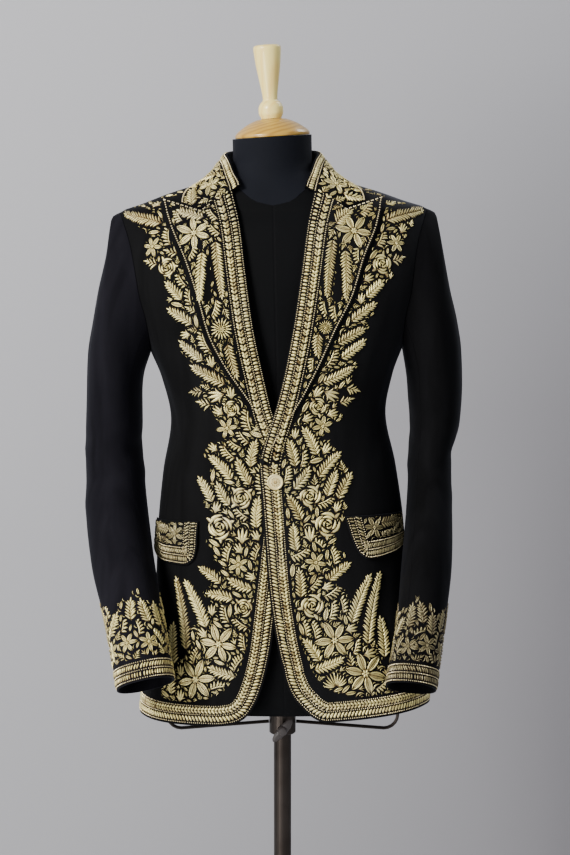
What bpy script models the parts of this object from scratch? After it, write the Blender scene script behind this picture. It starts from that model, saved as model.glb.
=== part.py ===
"""A one-button blazer on a limbless dress form that stands on a pole.

The origin is on the floor under the pole, +Z is up and the coat's fronts face -Y.
The wearer's left side is +X. The coat's outer surface is a set of level sections
round the figure, read smoothly between the rows of a table. Each cut piece is a
grid on that surface between its own seams, and its cloth lies inside it. Angles
round the figure start at the centre front and turn over the wearer's left side.
"""

import math
from bisect import bisect_right
from collections import namedtuple

import bmesh
import bpy
from mathutils import Matrix, Vector

GAP = 0.0003
CLOTH = 0.002
STEP_ANGLE = 0.3
STEP_HEIGHT = 0.0008

# Landmark heights of the coat
HEM = 0.682
ARMHOLE_BOTTOM = 1.1925
SHOULDER_TIP = 1.3855
NECKLINE = 1.442
BREAK = 1.047

# How the dressed form stands: its lean to one side, and the tilt of its level lines
LEAN = 0.022
LEAN_HEIGHT = 0.83
HEM_TILT = 0.042
SHOULDER_TILT = 0.012

Section = namedtuple("Section", "height half_width front back power")
COAT = (
    Section(0.670, 0.2070, 0.128, 0.132, 2.50),
    Section(0.760, 0.1950, 0.122, 0.129, 2.50),
    Section(0.860, 0.1790, 0.116, 0.124, 2.50),
    Section(0.950, 0.1735, 0.112, 0.116, 2.45),
    Section(1.025, 0.1645, 0.110, 0.104, 2.40),
    Section(1.099, 0.1515, 0.110, 0.096, 2.35),
    Section(1.155, 0.1625, 0.115, 0.100, 2.30),
    Section(1.1925, 0.1770, 0.120, 0.107, 2.30),
    Section(1.240, 0.1960, 0.123, 0.113, 2.30),
    Section(1.280, 0.2110, 0.122, 0.116, 2.30),
    Section(1.330, 0.2170, 0.112, 0.113, 2.20),
    Section(1.365, 0.2175, 0.096, 0.102, 2.10),
    Section(1.3855, 0.2140, 0.083, 0.090, 2.00),
    Section(1.397, 0.1830, 0.076, 0.082, 2.00),
    Section(1.411, 0.1450, 0.069, 0.074, 2.00),
    Section(1.4215, 0.1110, 0.064, 0.068, 2.00),
    Section(1.430, 0.0880, 0.061, 0.064, 2.00),
    Section(1.442, 0.0690, 0.059, 0.061, 2.00),
    Section(1.460, 0.0610, 0.057, 0.058, 2.00),
)

# The dress form inside it, seen where the fronts part and below the neck
FORM = (
    Section(0.6865, 0.1850, 0.1050, 0.1080, 2.40),
    Section(0.760, 0.1830, 0.1090, 0.1130, 2.40),
    Section(0.860, 0.1720, 0.1060, 0.1120, 2.40),
    Section(0.950, 0.1610, 0.1020, 0.1040, 2.40),
    Section(1.025, 0.1480, 0.0990, 0.0930, 2.40),
    Section(1.099, 0.1370, 0.0980, 0.0860, 2.35),
    Section(1.155, 0.1460, 0.1020, 0.0900, 2.30),
    Section(1.1925, 0.1560, 0.1070, 0.0970, 2.30),
    Section(1.240, 0.1680, 0.1120, 0.1040, 2.30),
    Section(1.280, 0.1760, 0.1130, 0.1080, 2.30),
    Section(1.330, 0.1840, 0.1050, 0.1060, 2.20),
    Section(1.362, 0.1890, 0.0930, 0.0980, 2.10),
    Section(1.3765, 0.1890, 0.0840, 0.0910, 2.00),
    Section(1.3835, 0.1840, 0.0790, 0.0860, 2.00),
    Section(1.3945, 0.1810, 0.0740, 0.0795, 2.00),
    Section(1.4085, 0.1430, 0.0665, 0.0715, 2.00),
    Section(1.419, 0.1090, 0.0610, 0.0650, 2.00),
    Section(1.4275, 0.0860, 0.0580, 0.0610, 2.00),
    Section(1.441, 0.0610, 0.0550, 0.0570, 2.00),
    Section(1.456, 0.0550, 0.0545, 0.0545, 2.00),
    Section(1.486, 0.0550, 0.0550, 0.0550, 2.00),
)
FORM_LEVELS = (
    0.6865, 0.6925, 0.7065, 0.77, 0.83, 0.89, 0.95, 1.01, 1.06, 1.10, 1.14, 1.18,
    1.22, 1.26, 1.30, 1.335, 1.36, 1.375, 1.3845,
)
SHOULDER_SHARES = (0.24, 0.48, 0.69, 0.87, 1.0)
NECK_SHARES = (0.0, 0.25, 0.5, 0.8, 1.0)
FORM_SIDES = 28
REST = 0.0010

# The seam between the form's torso and its neck: its height round the figure
Seam = namedtuple("Seam", "angle height")
NECK_SEAM = (
    Seam(0.0, 1.3960),
    Seam(8.0, 1.4015),
    Seam(15.0, 1.4110),
    Seam(24.0, 1.4196),
    Seam(32.0, 1.4240),
    Seam(50.0, 1.4300),
    Seam(90.0, 1.4390),
    Seam(180.0, 1.4520),
)

# The fronts' free edges and, over the break, their roll lines, from the centre line
# towards each front's own side. The left front laps over the right one.
Edge = namedtuple("Edge", "height left right")
FRONT_EDGES = (
    Edge(0.682, 0.0560, 0.0900),
    Edge(0.6855, 0.0465, 0.0680),
    Edge(0.6985, 0.0297, 0.0490),
    Edge(0.730, 0.0069, 0.0320),
    Edge(0.781, -0.0057, 0.0181),
    Edge(0.830, -0.0135, 0.0105),
    Edge(0.880, -0.0185, 0.0035),
    Edge(0.933, -0.0215, -0.0040),
    Edge(1.006, -0.0253, -0.0120),
    Edge(1.041, -0.0273, -0.0140),
    Edge(1.053, -0.0246, -0.0130),
    Edge(1.075, -0.0183, -0.0070),
    Edge(1.1145, -0.0050, 0.0065),
    Edge(1.168, 0.0097, 0.0178),
    Edge(1.2385, 0.0245, 0.0305),
    Edge(1.3068, 0.0360, 0.0383),
    Edge(1.3675, 0.0457, 0.0448),
    Edge(1.410, 0.0560, 0.0540),
)

# Where each front ends at the neck, over the gorge
NeckEdge = namedtuple("NeckEdge", "height reach")
NECK_EDGES = (
    NeckEdge(1.3980, -0.1),
    NeckEdge(1.4110, 0.0700),
    NeckEdge(1.4225, 0.0705),
    NeckEdge(1.4320, 0.0700),
    NeckEdge(1.4420, 0.0688),
)

# The lapels' outer edges, in the same measure
LapelEdge = namedtuple("LapelEdge", "height left right")
LAPEL_EDGES = (
    LapelEdge(1.044, -0.0215, -0.0085),
    LapelEdge(1.0895, 0.0060, 0.0152),
    LapelEdge(1.1405, 0.0385, 0.0466),
    LapelEdge(1.179, 0.0590, 0.0714),
    LapelEdge(1.2255, 0.0810, 0.0935),
    LapelEdge(1.272, 0.1052, 0.1056),
    LapelEdge(1.324, 0.1226, 0.1221),
    LapelEdge(1.365, 0.1407, 0.1397),
    LapelEdge(1.403, 0.1506, 0.1520),
)
ROLL_TOP = 1.4095
PEAK = 1.403
NOTCH_SHARE = 0.44
NOTCH_DIP = 0.0195
ROLL_RADIUS = 0.0026
ROLL_BULGE = 0.0025
LAPEL_RISE = 0.0012
LAPEL_OUT = 2 * ROLL_RADIUS - CLOTH
LAPEL_STEPS = 7
LAPEL_ROWS = 16
ROLL_STEPS = 3

# How far the lapping left front stands off the surface, near the centre
Lap = namedtuple("Lap", "height rise")
LAPS = (
    Lap(0.682, 0.0032),
    Lap(0.990, 0.0034),
    Lap(1.036, 0.0066),
    Lap(1.120, 0.0070),
    Lap(1.165, 0.0020),
    Lap(1.195, 0.0),
)
LAP_REACH = 0.060

# The armhole round the side: how far it reaches from the side's middle, in degrees
ARM_FORE = 29.0
ARM_AFT = 30.0
ARM_POWER = 0.8
ARM_MIDDLE = (SHOULDER_TIP + ARMHOLE_BOTTOM) / 2
ARM_HALF = (SHOULDER_TIP - ARMHOLE_BOTTOM) / 2

# Rows of the panels: shares of the way up to the armhole, then heights over the shoulder
LOWER_ROWS = (
    0, 0.008, 0.03, 0.06, 0.1, 0.17, 0.25, 0.34, 0.44, 0.53, 0.61, 0.653, 0.667, 0.72, 0.78, 0.85, 0.925, 1,
)
SHOULDER_ROWS = (1.398, 1.411, 1.4225, 1.432, NECKLINE)
# Places round the armhole that the panels' and the sleeves' edges share, 0 at its top
FORE_STATIONS = (128.0, 106.7, 85.3, 64.0, 42.7, 21.3, 0.0)
AFT_STATIONS = (-137.3, -124.65, -112.0, -90.0, -67.5, -45.0, -22.5, 0.0)
UNDER_STATIONS = (128.0, 151.7, 175.4, 199.0, 222.7)
FRONT_COLUMNS = 11
BACK_COLUMNS = 8

# The skirt's soft flutes, which fade out at the waist: place, width and depth
Flute = namedtuple("Flute", "angle spread depth")
FLUTES = (
    Flute(-152.0, 13.0, 0.0050),
    Flute(-118.0, 11.0, 0.0040),
    Flute(-86.0, 10.0, 0.0028),
    Flute(80.0, 10.0, 0.0034),
    Flute(112.0, 12.0, 0.0036),
    Flute(146.0, 14.0, 0.0055),
)
FLUTE_TOP = 1.02

# Sleeves: sizes across at each height, and how far a round tips forward and outward
Round = namedtuple("Round", "height outer inner fore aft pitch sway")
RIGHT_SLEEVE = (
    Round(1.3868, 0.2225, 0.2150, -0.0080, 0.0120, 0.00, 0.00),
    Round(1.3790, 0.2262, 0.2110, -0.0260, 0.0300, 0.00, 0.00),
    Round(1.3600, 0.2300, 0.2040, -0.0450, 0.0510, 0.00, 0.00),
    Round(1.3300, 0.2350, 0.1970, -0.0600, 0.0680, 0.00, 0.00),
    Round(1.2800, 0.2480, 0.1900, -0.0690, 0.0790, 0.00, 0.00),
    Round(1.2360, 0.2572, 0.1860, -0.0720, 0.0830, 0.00, 0.00),
    Round(1.1900, 0.2660, 0.1850, -0.0710, 0.0840, 0.00, 0.00),
    Round(1.1300, 0.2702, 0.1920, -0.0660, 0.0830, 0.00, 0.00),
    Round(1.0500, 0.2742, 0.1930, -0.0620, 0.0740, 0.06, 0.00),
    Round(0.9850, 0.2745, 0.1881, -0.0750, 0.0510, 0.22, 0.03),
    Round(0.9050, 0.2652, 0.1786, -0.1090, 0.0050, 0.38, 0.12),
    Round(0.8270, 0.2440, 0.1642, -0.1490, -0.0500, 0.40, 0.19),
    Round(0.7470, 0.2295, 0.1500, -0.1810, -0.0830, 0.40, 0.19),
)
LEFT_SLEEVE = (
    Round(1.3868, 0.2225, 0.2150, -0.0080, 0.0120, 0.00, 0.00),
    Round(1.3790, 0.2262, 0.2110, -0.0260, 0.0300, 0.00, 0.00),
    Round(1.3600, 0.2300, 0.2040, -0.0450, 0.0510, 0.00, 0.00),
    Round(1.3300, 0.2350, 0.1970, -0.0600, 0.0680, 0.00, 0.00),
    Round(1.2700, 0.2451, 0.1890, -0.0690, 0.0790, 0.00, 0.00),
    Round(1.2270, 0.2540, 0.1850, -0.0720, 0.0830, 0.00, 0.00),
    Round(1.1840, 0.2595, 0.1815, -0.0710, 0.0840, 0.00, 0.00),
    Round(1.1400, 0.2606, 0.1836, -0.0680, 0.0840, 0.00, 0.00),
    Round(1.0750, 0.2558, 0.1845, -0.0655, 0.0760, 0.05, 0.00),
    Round(1.0320, 0.2438, 0.1825, -0.0730, 0.0640, 0.16, 0.02),
    Round(0.9690, 0.2407, 0.1769, -0.1020, 0.0290, 0.32, 0.05),
    Round(0.8885, 0.2345, 0.1660, -0.1500, -0.0330, 0.42, 0.12),
    Round(0.8100, 0.2218, 0.1562, -0.1740, -0.0680, 0.40, 0.16),
    Round(0.7320, 0.2085, 0.1390, -0.1970, -0.0940, 0.40, 0.16),
)
SLEEVE_POWER = 2.2
SLEEVE_BLEND = 0.075
HEAD_BLEND = 0.008
ARM_GAP = 0.0006
SLEEVE_ROWS = (
    0, 0.005, 0.014, 0.03, 0.055, 0.09, 0.13, 0.18, 0.24, 0.3, 0.36, 0.42, 0.48, 0.545, 0.61, 0.68,
    0.76, 0.84, 0.92, 1,
)

# Creases across the inside of the elbows: height, place round the arm, spread, depth
Crease = namedtuple("Crease", "height angle length spread depth")
RIGHT_CREASES = (
    Crease(1.062, 120.0, 0.018, 55.0, 0.0040),
    Crease(1.012, 70.0, 0.020, 45.0, 0.0028),
    Crease(1.165, 170.0, 0.022, 50.0, 0.0035),
)
LEFT_CREASES = (
    Crease(1.050, 10.0, 0.016, 50.0, 0.0030),
    Crease(1.090, 130.0, 0.020, 60.0, 0.0042),
    Crease(0.985, 60.0, 0.018, 45.0, 0.0026),
)

# The collar: its fold, the neckline that it is sewn to and its outer edge on the coat
Turn = namedtuple("Turn", "fold_x fold_y fold_z seam_angle seam_height edge_angle edge_height dip")
COLLAR = (
    Turn(0.0480, -0.0665, 1.4175, 28.0, 1.4120, 44.4, 1.3985, 0.0155),
    Turn(0.0515, -0.0480, 1.4380, 46.0, 1.4300, 58.0, 1.4130, 0.0050),
    Turn(0.0580, -0.0260, 1.4555, 66.0, 1.4420, 74.0, 1.4250, 0.0),
    Turn(0.0630, 0.0020, 1.4640, 90.0, 1.4420, 92.0, 1.4310, 0.0),
    Turn(0.0600, 0.0320, 1.4670, 120.0, 1.4420, 118.0, 1.4270, 0.0),
    Turn(0.0400, 0.0560, 1.4690, 150.0, 1.4420, 148.0, 1.4190, 0.0),
    Turn(0.0, 0.0650, 1.4700, 180.0, 1.4420, 180.0, 1.4150, 0.0),
)
COLLAR_NOTCH = 0.60
COLLAR_ROWS = 26
COLLAR_SEAM = 0.0004
COLLAR_FALL = 5
COLLAR_CLEAR = CLOTH + 0.0005

# Pocket flaps: where the fore edge lies at each share of the way up, in degrees, and
# the heights of the bottom and top edges at each share of the way back
FlapFore = namedtuple("FlapFore", "share left right")
FLAP_FORES = (
    FlapFore(0.00, 37.4, 43.0),
    FlapFore(0.06, 35.2, 40.4),
    FlapFore(0.18, 32.4, 37.8),
    FlapFore(0.50, 29.0, 36.2),
    FlapFore(1.00, 26.4, 36.3),
)
FlapEnd = namedtuple("FlapEnd", "share bottom_left bottom_right top_left top_right")
FLAP_ENDS = (
    FlapEnd(0.00, 0.9058, 0.9043, 0.9670, 0.9650),
    FlapEnd(0.15, 0.9045, 0.9033, 0.9665, 0.9645),
    FlapEnd(0.50, 0.9070, 0.9040, 0.9645, 0.9620),
    FlapEnd(1.00, 0.9150, 0.9140, 0.9610, 0.9586),
)
FLAP_AFT_LEFT = 74.0
FLAP_AFT_RIGHT = 85.0
FLAP_OUT = CLOTH + GAP + 0.0004
FLAP_SLACK = 0.0009
FLAP_LIFT = 0.0018
FLAP_COLUMNS = 9
FLAP_RISES = (0.0, 0.06, 0.18, 0.5, 1.0)

# Buttons
BUTTON_RADIUS = 0.011
BUTTON_THICK = 0.0034
BUTTON_OFFSET = -0.0056
BUTTON_HEIGHT = 1.0206
BUTTON_LIFT = GAP + 0.0004
CUFF_BUTTON_RADIUS = 0.0056
CUFF_BUTTON_THICK = 0.0030
CUFF_BUTTONS = 4
CUFF_BUTTON_FIRST = 0.030
CUFF_BUTTON_PITCH = 0.0165
CUFF_BUTTON_ANGLE = -24.0

# The form's fittings and its stand
NECK_TOP = 1.486
CAP_RADIUS = 0.052
CAP_HEIGHT = 0.0245
CAP_PLACE = Vector((-0.0137, 0.0, 1.4878))
CAP_TILT = math.radians(-3.6)
FINIAL_HEIGHT = 0.1010
POLE_RADIUS = 0.0125
POLE_FOOT = 0.030
POLE_TOP = 0.868
SOCKET_RADIUS = 0.0190
SOCKET_BOTTOM = 0.636
SOCKET_BORE = POLE_RADIUS + 0.0006
FORM_BORE = POLE_RADIUS + 0.0015
BORE_TOP = 1.130
FLANGE_RADIUS = 0.034
FLANGE_THICK = 0.003
FORM_BOTTOM = 0.6865
ROD_RADIUS = 0.0026
ROD_HEIGHT = 0.6525
ROD_FALL = 0.010
ROD_REACH = 0.166
ROD_BEND = 0.020
SCREW_RADIUS = 0.0030
SCREW_BORE = 0.0035
SCREW_FRAME = Matrix.Translation((0, 0, 0.6460)) @ Matrix.Rotation(math.radians(90), 4, "X")
WING_SIZE = Vector((0.0215, 0.0070, 0.0030))
WING_TURN = math.radians(50)
BASE_RADIUS = 0.180
BASE_THICK = 0.022

CLOTH_COLOUR = (0.012, 0.012, 0.015)
FORM_COLOUR = (0.010, 0.011, 0.014)
NECK_COLOUR = (0.022, 0.024, 0.036)
BRASS_COLOUR = (0.62, 0.50, 0.26)
WOOD_COLOUR = (0.74, 0.52, 0.25)
STEEL_COLOUR = (0.12, 0.10, 0.10)
KNOB_COLOUR = (0.06, 0.05, 0.05)

Look = namedtuple("Look", "colour roughness metallic")
VELVET = Look(CLOTH_COLOUR, 0.85, 0.0)
JERSEY = Look(FORM_COLOUR, 0.80, 0.0)
NECK_CLOTH = Look(NECK_COLOUR, 0.80, 0.0)
BRASS = Look(BRASS_COLOUR, 0.32, 1.0)
WOOD = Look(WOOD_COLOUR, 0.38, 0.0)
STEEL = Look(STEEL_COLOUR, 0.35, 1.0)
KNOB_PLASTIC = Look(KNOB_COLOUR, 0.30, 0.0)


def smooth(places, values, at):
    """A curve through the table's values that doesn't overshoot between them."""
    if at <= places[0]:
        return values[0]
    if at >= places[-1]:
        return values[-1]
    steps = [(b - a) / (q - p) for a, b, p, q in zip(values, values[1:], places, places[1:])]

    def slope(k):
        if k == 0 or k == len(steps):
            return steps[min(k, len(steps) - 1)]
        before, after = steps[k - 1], steps[k]
        return 2 * before * after / (before + after) if before * after > 0 else 0.0

    k = bisect_right(places, at) - 1
    width = places[k + 1] - places[k]
    t = (at - places[k]) / width
    return (
        (2 * t**3 - 3 * t**2 + 1) * values[k]
        + (t**3 - 2 * t**2 + t) * width * slope(k)
        + (3 * t**2 - 2 * t**3) * values[k + 1]
        + (t**3 - t**2) * width * slope(k + 1)
    )


def read(table, at, by="height"):
    """The table's row at this height, as the same kind of row."""
    rows = sorted(table, key=lambda row: getattr(row, by))
    places = [getattr(row, by) for row in rows]
    return type(rows[0])(*(smooth(places, column, at) for column in zip(*rows)))


def ramp(low, high, value):
    """0 up to low and 1 from high on, with a soft start and end."""
    t = min(1.0, max(0.0, (value - low) / (high - low)))
    return t * t * (3 - 2 * t)


def bell(value, spread):
    return math.exp(-((value / spread) ** 2))


def turned(angle):
    """The angle between -180 and 180 degrees."""
    return (angle + 180.0) % 360.0 - 180.0


def ease_of(value, power):
    return math.copysign(abs(value) ** (2.0 / power), value)


def on_section(table, angle, height):
    """A point of a level section, before the form leans."""
    row = read(table, height)
    cosine, sine = math.cos(math.radians(angle)), math.sin(math.radians(angle))
    depth = row.front if cosine > 0 else row.back
    x = row.half_width * ease_of(sine, row.power)
    return Vector((x, -depth * ease_of(cosine, row.power), height))


def flute_depth(angle, height):
    fade = 1 - ramp(HEM, FLUTE_TOP, height)
    return fade * sum(f.depth * bell(turned(angle - f.angle), f.spread) for f in FLUTES)


def coat_surface(angle, height):
    point = on_section(COAT, angle, height)
    away = Vector((point.x, point.y, 0)).normalized()
    return point + away * flute_depth(angle, height)


def coat_normal(angle, height):
    along = coat_surface(angle + STEP_ANGLE, height) - coat_surface(angle - STEP_ANGLE, height)
    up = coat_surface(angle, height + STEP_HEIGHT) - coat_surface(angle, height - STEP_HEIGHT)
    return along.cross(up).normalized()


def coat_point(angle, height, out=0.0):
    return coat_surface(angle, height) + coat_normal(angle, height) * out


def angle_at(reach, height):
    """The angle, in front, whose point lies this far across from the centre line."""
    row = read(COAT, height)
    share = min(1.0, abs(reach) / row.half_width) ** (row.power / 2)
    return math.copysign(math.degrees(math.asin(share)), reach)


def settle(point):
    """Where a point of the dressed form stands once the form leans and tilts."""
    share = (point.z - HEM) / (SHOULDER_TIP - HEM)
    tilt = HEM_TILT + (SHOULDER_TILT - HEM_TILT) * share
    return Vector((point.x - LEAN * (point.z - LEAN_HEIGHT), point.y, point.z + tilt * point.x))


def seam_share(angle, height):
    """Half a seam's gap as an angle at this place."""
    chord = (coat_surface(angle + STEP_ANGLE, height) - coat_surface(angle, height)).length
    return STEP_ANGLE * GAP / 2 / max(chord, 1e-5)


def side_name(side):
    return "left" if side > 0 else "right"


def armhole_angle(height, aft):
    """How far round the armhole's edge lies from the side at this height, in degrees."""
    share = max(-1.0, min(1.0, (height - ARM_MIDDLE) / ARM_HALF))
    return (ARM_AFT if aft else ARM_FORE) * math.sqrt(1 - share * share) ** ARM_POWER


def front_lap(side, reach, height):
    """How far the lapping front stands off near the centre."""
    if side < 0:
        return 0.0
    return read(LAPS, height).rise * (1 - ramp(-0.005, LAP_REACH, reach))


def front_edge(side, height):
    row = read(FRONT_EDGES, height)
    return row.left if side > 0 else row.right


def station_height(station):
    return ARM_MIDDLE + ARM_HALF * math.cos(math.radians(station))


def panel_rows(stations):
    """A front's or back's row heights: the side seam, the armhole, then the shoulder."""
    seam_top = station_height(stations[0])
    lower = [HEM + share * (seam_top - HEM) for share in LOWER_ROWS]
    return lower + [station_height(station) for station in stations[1:]] + list(SHOULDER_ROWS)


def station_angle(station):
    """The angle round the coat at which this place of the armhole lies."""
    turn = math.radians(station)
    reach = armhole_angle(station_height(station), aft=math.sin(turn) < 0)
    return 90.0 - reach if math.sin(turn) > 0 else 90.0 + reach


def outer_angle(height, station):
    """A front's or back's outer edge: its side seam, the armhole, then the shoulder."""
    if height <= station_height(station):
        return station_angle(station)
    if height >= SHOULDER_TIP:
        return 90.0
    reach = armhole_angle(height, aft=station < 0)
    return 90.0 - reach if station > 0 else 90.0 + reach


def front_point(side, s, height, depth):
    """A front's point, s from its free edge to its outer edge, this deep in its cloth."""
    folded = ramp(BREAK - 0.008, BREAK - 0.001, height)
    reach = front_edge(side, height) + folded * (ROLL_RADIUS + 2 * GAP)
    reach = max(reach, read(NECK_EDGES, height).reach)
    start = angle_at(reach, height)
    end = outer_angle(height, FORE_STATIONS[0])
    end -= seam_share(end, height)
    angle = start + (end - start) * s
    place = on_section(COAT, angle, height)
    return coat_point(side * angle, height, front_lap(side, place.x, height) - depth)


def back_point(side, s, height, depth):
    """A back's point, s from its outer edge to the centre back seam."""
    start = outer_angle(height, AFT_STATIONS[0])
    start += seam_share(start, height)
    end = 180.0 - seam_share(180.0, height)
    return coat_point(side * (start + (end - start) * s), height, -depth)


def side_point(side, i, k, depth):
    """A side body's point in column i and row k."""
    station = UNDER_STATIONS[i]
    angle = station_angle(station)
    if i == 0:
        angle += seam_share(angle, HEM)
    if i == len(UNDER_STATIONS) - 1:
        angle -= seam_share(angle, HEM)
    height = HEM + LOWER_ROWS[k] * (station_height(station) - HEM)
    return coat_point(side * angle, height, -depth)


def lapel_point(side, i, t, depth):
    """A lapel's point: the first columns turn round the roll, the rest lie on the front."""
    roll_height = BREAK + (ROLL_TOP - BREAK) * t
    edge_height = (BREAK - 0.003) + (PEAK - BREAK + 0.003) * t
    roll = front_edge(side, roll_height)
    row = read(LAPEL_EDGES, edge_height)
    edge = row.left if side > 0 else row.right
    if i < ROLL_STEPS:
        bend = math.pi * i / ROLL_STEPS
        radius = ROLL_RADIUS - depth
        reach = roll + ROLL_RADIUS - radius * math.sin(bend)
        out = ROLL_RADIUS - radius * math.cos(bend) - CLOTH
        height = roll_height
    else:
        s = (i - ROLL_STEPS) / LAPEL_STEPS
        reach = roll + ROLL_RADIUS + (edge - roll - ROLL_RADIUS) * s
        tent = s / NOTCH_SHARE if s < NOTCH_SHARE else (1 - s) / (1 - NOTCH_SHARE)
        height = roll_height + (edge_height - roll_height) * s - NOTCH_DIP * tent * t**9
        bulge = ROLL_BULGE * ramp(0.0, 0.4, t) * math.sin(math.pi * min(1.0, s * 1.6)) * (1 - s)
        out = LAPEL_OUT + bulge + LAPEL_RISE * ramp(0.0, 0.3, s) * ramp(0.5, 0.9, t) - depth
    out += front_lap(side, reach, height)
    return coat_point(side * angle_at(reach, height), height, out)


def flap_point(side, s, t, depth):
    """A pocket flap's point, s from its fore end and t from its bottom edge."""
    fore = read(FLAP_FORES, t, by="share")
    ends = read(FLAP_ENDS, s, by="share")
    if side > 0:
        start, end, bottom, top = fore.left, FLAP_AFT_LEFT, ends.bottom_left, ends.top_left
    else:
        start, end, bottom, top = fore.right, FLAP_AFT_RIGHT, ends.bottom_right, ends.top_right
    lift = FLAP_LIFT * math.sin(math.pi * min(1.0, 1.25 * (1 - t))) * (1 - ramp(0.5, 1.0, s))
    out = FLAP_OUT + FLAP_SLACK * (1 - ramp(0.5, 1.0, t)) + lift - depth
    return coat_point(side * (start + (end - start) * s), bottom + (top - bottom) * t, out)


def sleeve_tube(rounds, angle, height):
    """A point of a sleeve's own tube, angle 0 outward and 90 to the front."""
    row = read(rounds, height)
    cosine = ease_of(math.cos(math.radians(angle)), SLEEVE_POWER)
    sine = ease_of(math.sin(math.radians(angle)), SLEEVE_POWER)
    across, deep = (row.outer - row.inner) / 2, (row.aft - row.fore) / 2
    x, y = across * cosine, -deep * sine
    lift = -row.pitch * y - row.sway * x
    return Vector(((row.outer + row.inner) / 2 + x, (row.aft + row.fore) / 2 + y, height + lift))


def armhole_point(angle):
    """The armhole's edge where the sleeve's angle meets it, 0 at the shoulder's tip."""
    return coat_surface(station_angle(angle), station_height(angle)) + Vector((ARM_GAP, 0, 0))


def crease_depth(creases, angle, height):
    """How far the creases near this place draw the cloth in."""
    return sum(
        c.depth * bell(turned(angle - c.angle), c.spread) * bell(height - c.height, c.length)
        for c in creases
    )


def sleeve_surface(side, angle, t):
    """A sleeve's outer point, t from the armhole to the cuff."""
    rounds, creases = (LEFT_SLEEVE, LEFT_CREASES) if side > 0 else (RIGHT_SLEEVE, RIGHT_CREASES)
    start = armhole_point(angle)
    cuff = rounds[-1].height
    height = start.z + (cuff - start.z) * t
    point = sleeve_tube(rounds, angle, height)
    blend = HEAD_BLEND + (SLEEVE_BLEND - HEAD_BLEND) * ramp(8.0, 75.0, abs(turned(angle)))
    fade = max(0.0, 1 - (start.z - height) / blend) ** 2
    point += (start - sleeve_tube(rounds, angle, start.z)) * fade
    centre = sleeve_centre(rounds, height)
    inward = (centre - point).normalized()
    point += inward * crease_depth(creases, angle, height)
    return Vector((side * point.x, point.y, point.z))


def sleeve_normal(side, angle, t):
    """The way out of the sleeve at this point."""
    step = 0.003
    around = sleeve_surface(side, angle + 2, t) - sleeve_surface(side, angle - 2, t)
    down = sleeve_surface(side, angle, min(1, t + step)) - sleeve_surface(side, angle, max(0, t - step))
    return around.cross(down).normalized() * side


def sleeve_point(side, angle, t, depth):
    point = sleeve_surface(side, angle, t)
    return point - sleeve_normal(side, angle, t) * depth if depth else point


def sleeve_centre(rounds, height):
    row = read(rounds, height)
    return Vector(((row.outer + row.inner) / 2, (row.aft + row.fore) / 2, height))


def collar_row(t):
    """The collar's row at t, from -1 at the right end over the nape to 1 at the left."""
    place = (1 - abs(t)) * (len(COLLAR) - 1)
    places = list(range(len(COLLAR)))
    return Turn(*(smooth(places, column, place) for column in zip(*COLLAR)))


def collar_frame(t):
    """The fold's crest, seam point and outer edge at t, on the left side."""
    row = collar_row(t)
    crest = Vector((row.fold_x, row.fold_y, row.fold_z))
    seam = coat_point(row.seam_angle, row.seam_height, -CLOTH / 2)
    edge = coat_point(row.edge_angle, row.edge_height, COLLAR_CLEAR + CLOTH)
    return row, crest, seam, edge


def collar_point(i, t, depth):
    """The collar's point: up the stand, over the fold, then down the fall."""
    side = -1 if t < 0 else 1
    row, crest, seam, edge = collar_frame(t)
    fall = (edge - crest).normalized()
    before = collar_frame(min(1.0, abs(t) + 0.02))[1]
    after = collar_frame(max(0.0, abs(t) - 0.02))[1]
    after = after if abs(t) > 0.02 else Vector((-before.x, before.y, before.z))
    along = (after - before).normalized()
    out = fall.cross(along).normalized()
    if out.dot(Vector((crest.x, crest.y, 0))) < 0:
        out = -out
    heart = crest + fall * ROLL_RADIUS
    radius = ROLL_RADIUS - depth
    inner = heart - out * radius
    outer = heart + out * radius
    if i == 0:
        lean = (seam - inner).normalized()
        point = seam - lean * (COLLAR_SEAM + GAP) + out * (depth - CLOTH / 2)
    elif i <= ROLL_STEPS + 1:
        bend = math.pi * (i - 1) / ROLL_STEPS
        point = heart - out * radius * math.cos(bend) - fall * radius * math.sin(bend)
    else:
        s = (i - ROLL_STEPS - 1) / COLLAR_FALL
        edge = edge - coat_normal(row.edge_angle, row.edge_height) * depth
        knee = outer + (edge - outer).project(fall) * 0.55
        point = outer * (1 - s) ** 2 + knee * 2 * s * (1 - s) + edge * s * s
        tent = s / COLLAR_NOTCH if s < COLLAR_NOTCH else (1 - s) / (1 - COLLAR_NOTCH)
        point = point - Vector((0, 0, row.dip * tent))
        point = clear_of_coat(point, COLLAR_CLEAR + CLOTH - depth)
    return Vector((side * point.x, point.y, point.z))


def coat_share(point):
    """Below 1 inside the coat's surface at this height, above 1 outside."""
    row = read(COAT, point.z)
    depth = row.front if point.y < 0 else row.back
    total = abs(point.x / row.half_width) ** row.power + abs(point.y / depth) ** row.power
    return total ** (1 / row.power)


def clear_of_coat(point, margin):
    """The point, moved out until it stands this far off the coat's surface."""
    step = 1e-4
    for _ in range(4):
        share = coat_share(point)
        slope = Vector([
            (coat_share(point + offset) - share) / step
            for offset in (Vector((step, 0, 0)), Vector((0, step, 0)), Vector((0, 0, step)))
        ])
        gap = (share - 1) / slope.length
        if gap >= margin:
            break
        point = point + slope.normalized() * (margin - gap)
    return point


def material(name, look):
    made = bpy.data.materials.new(name)
    made.use_nodes = True
    shader = made.node_tree.nodes["Principled BSDF"]
    shader.inputs["Base Color"].default_value = (*look.colour, 1.0)
    shader.inputs["Roughness"].default_value = look.roughness
    shader.inputs["Metallic"].default_value = look.metallic
    made.diffuse_color = (*look.colour, 1.0)
    return made


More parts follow.
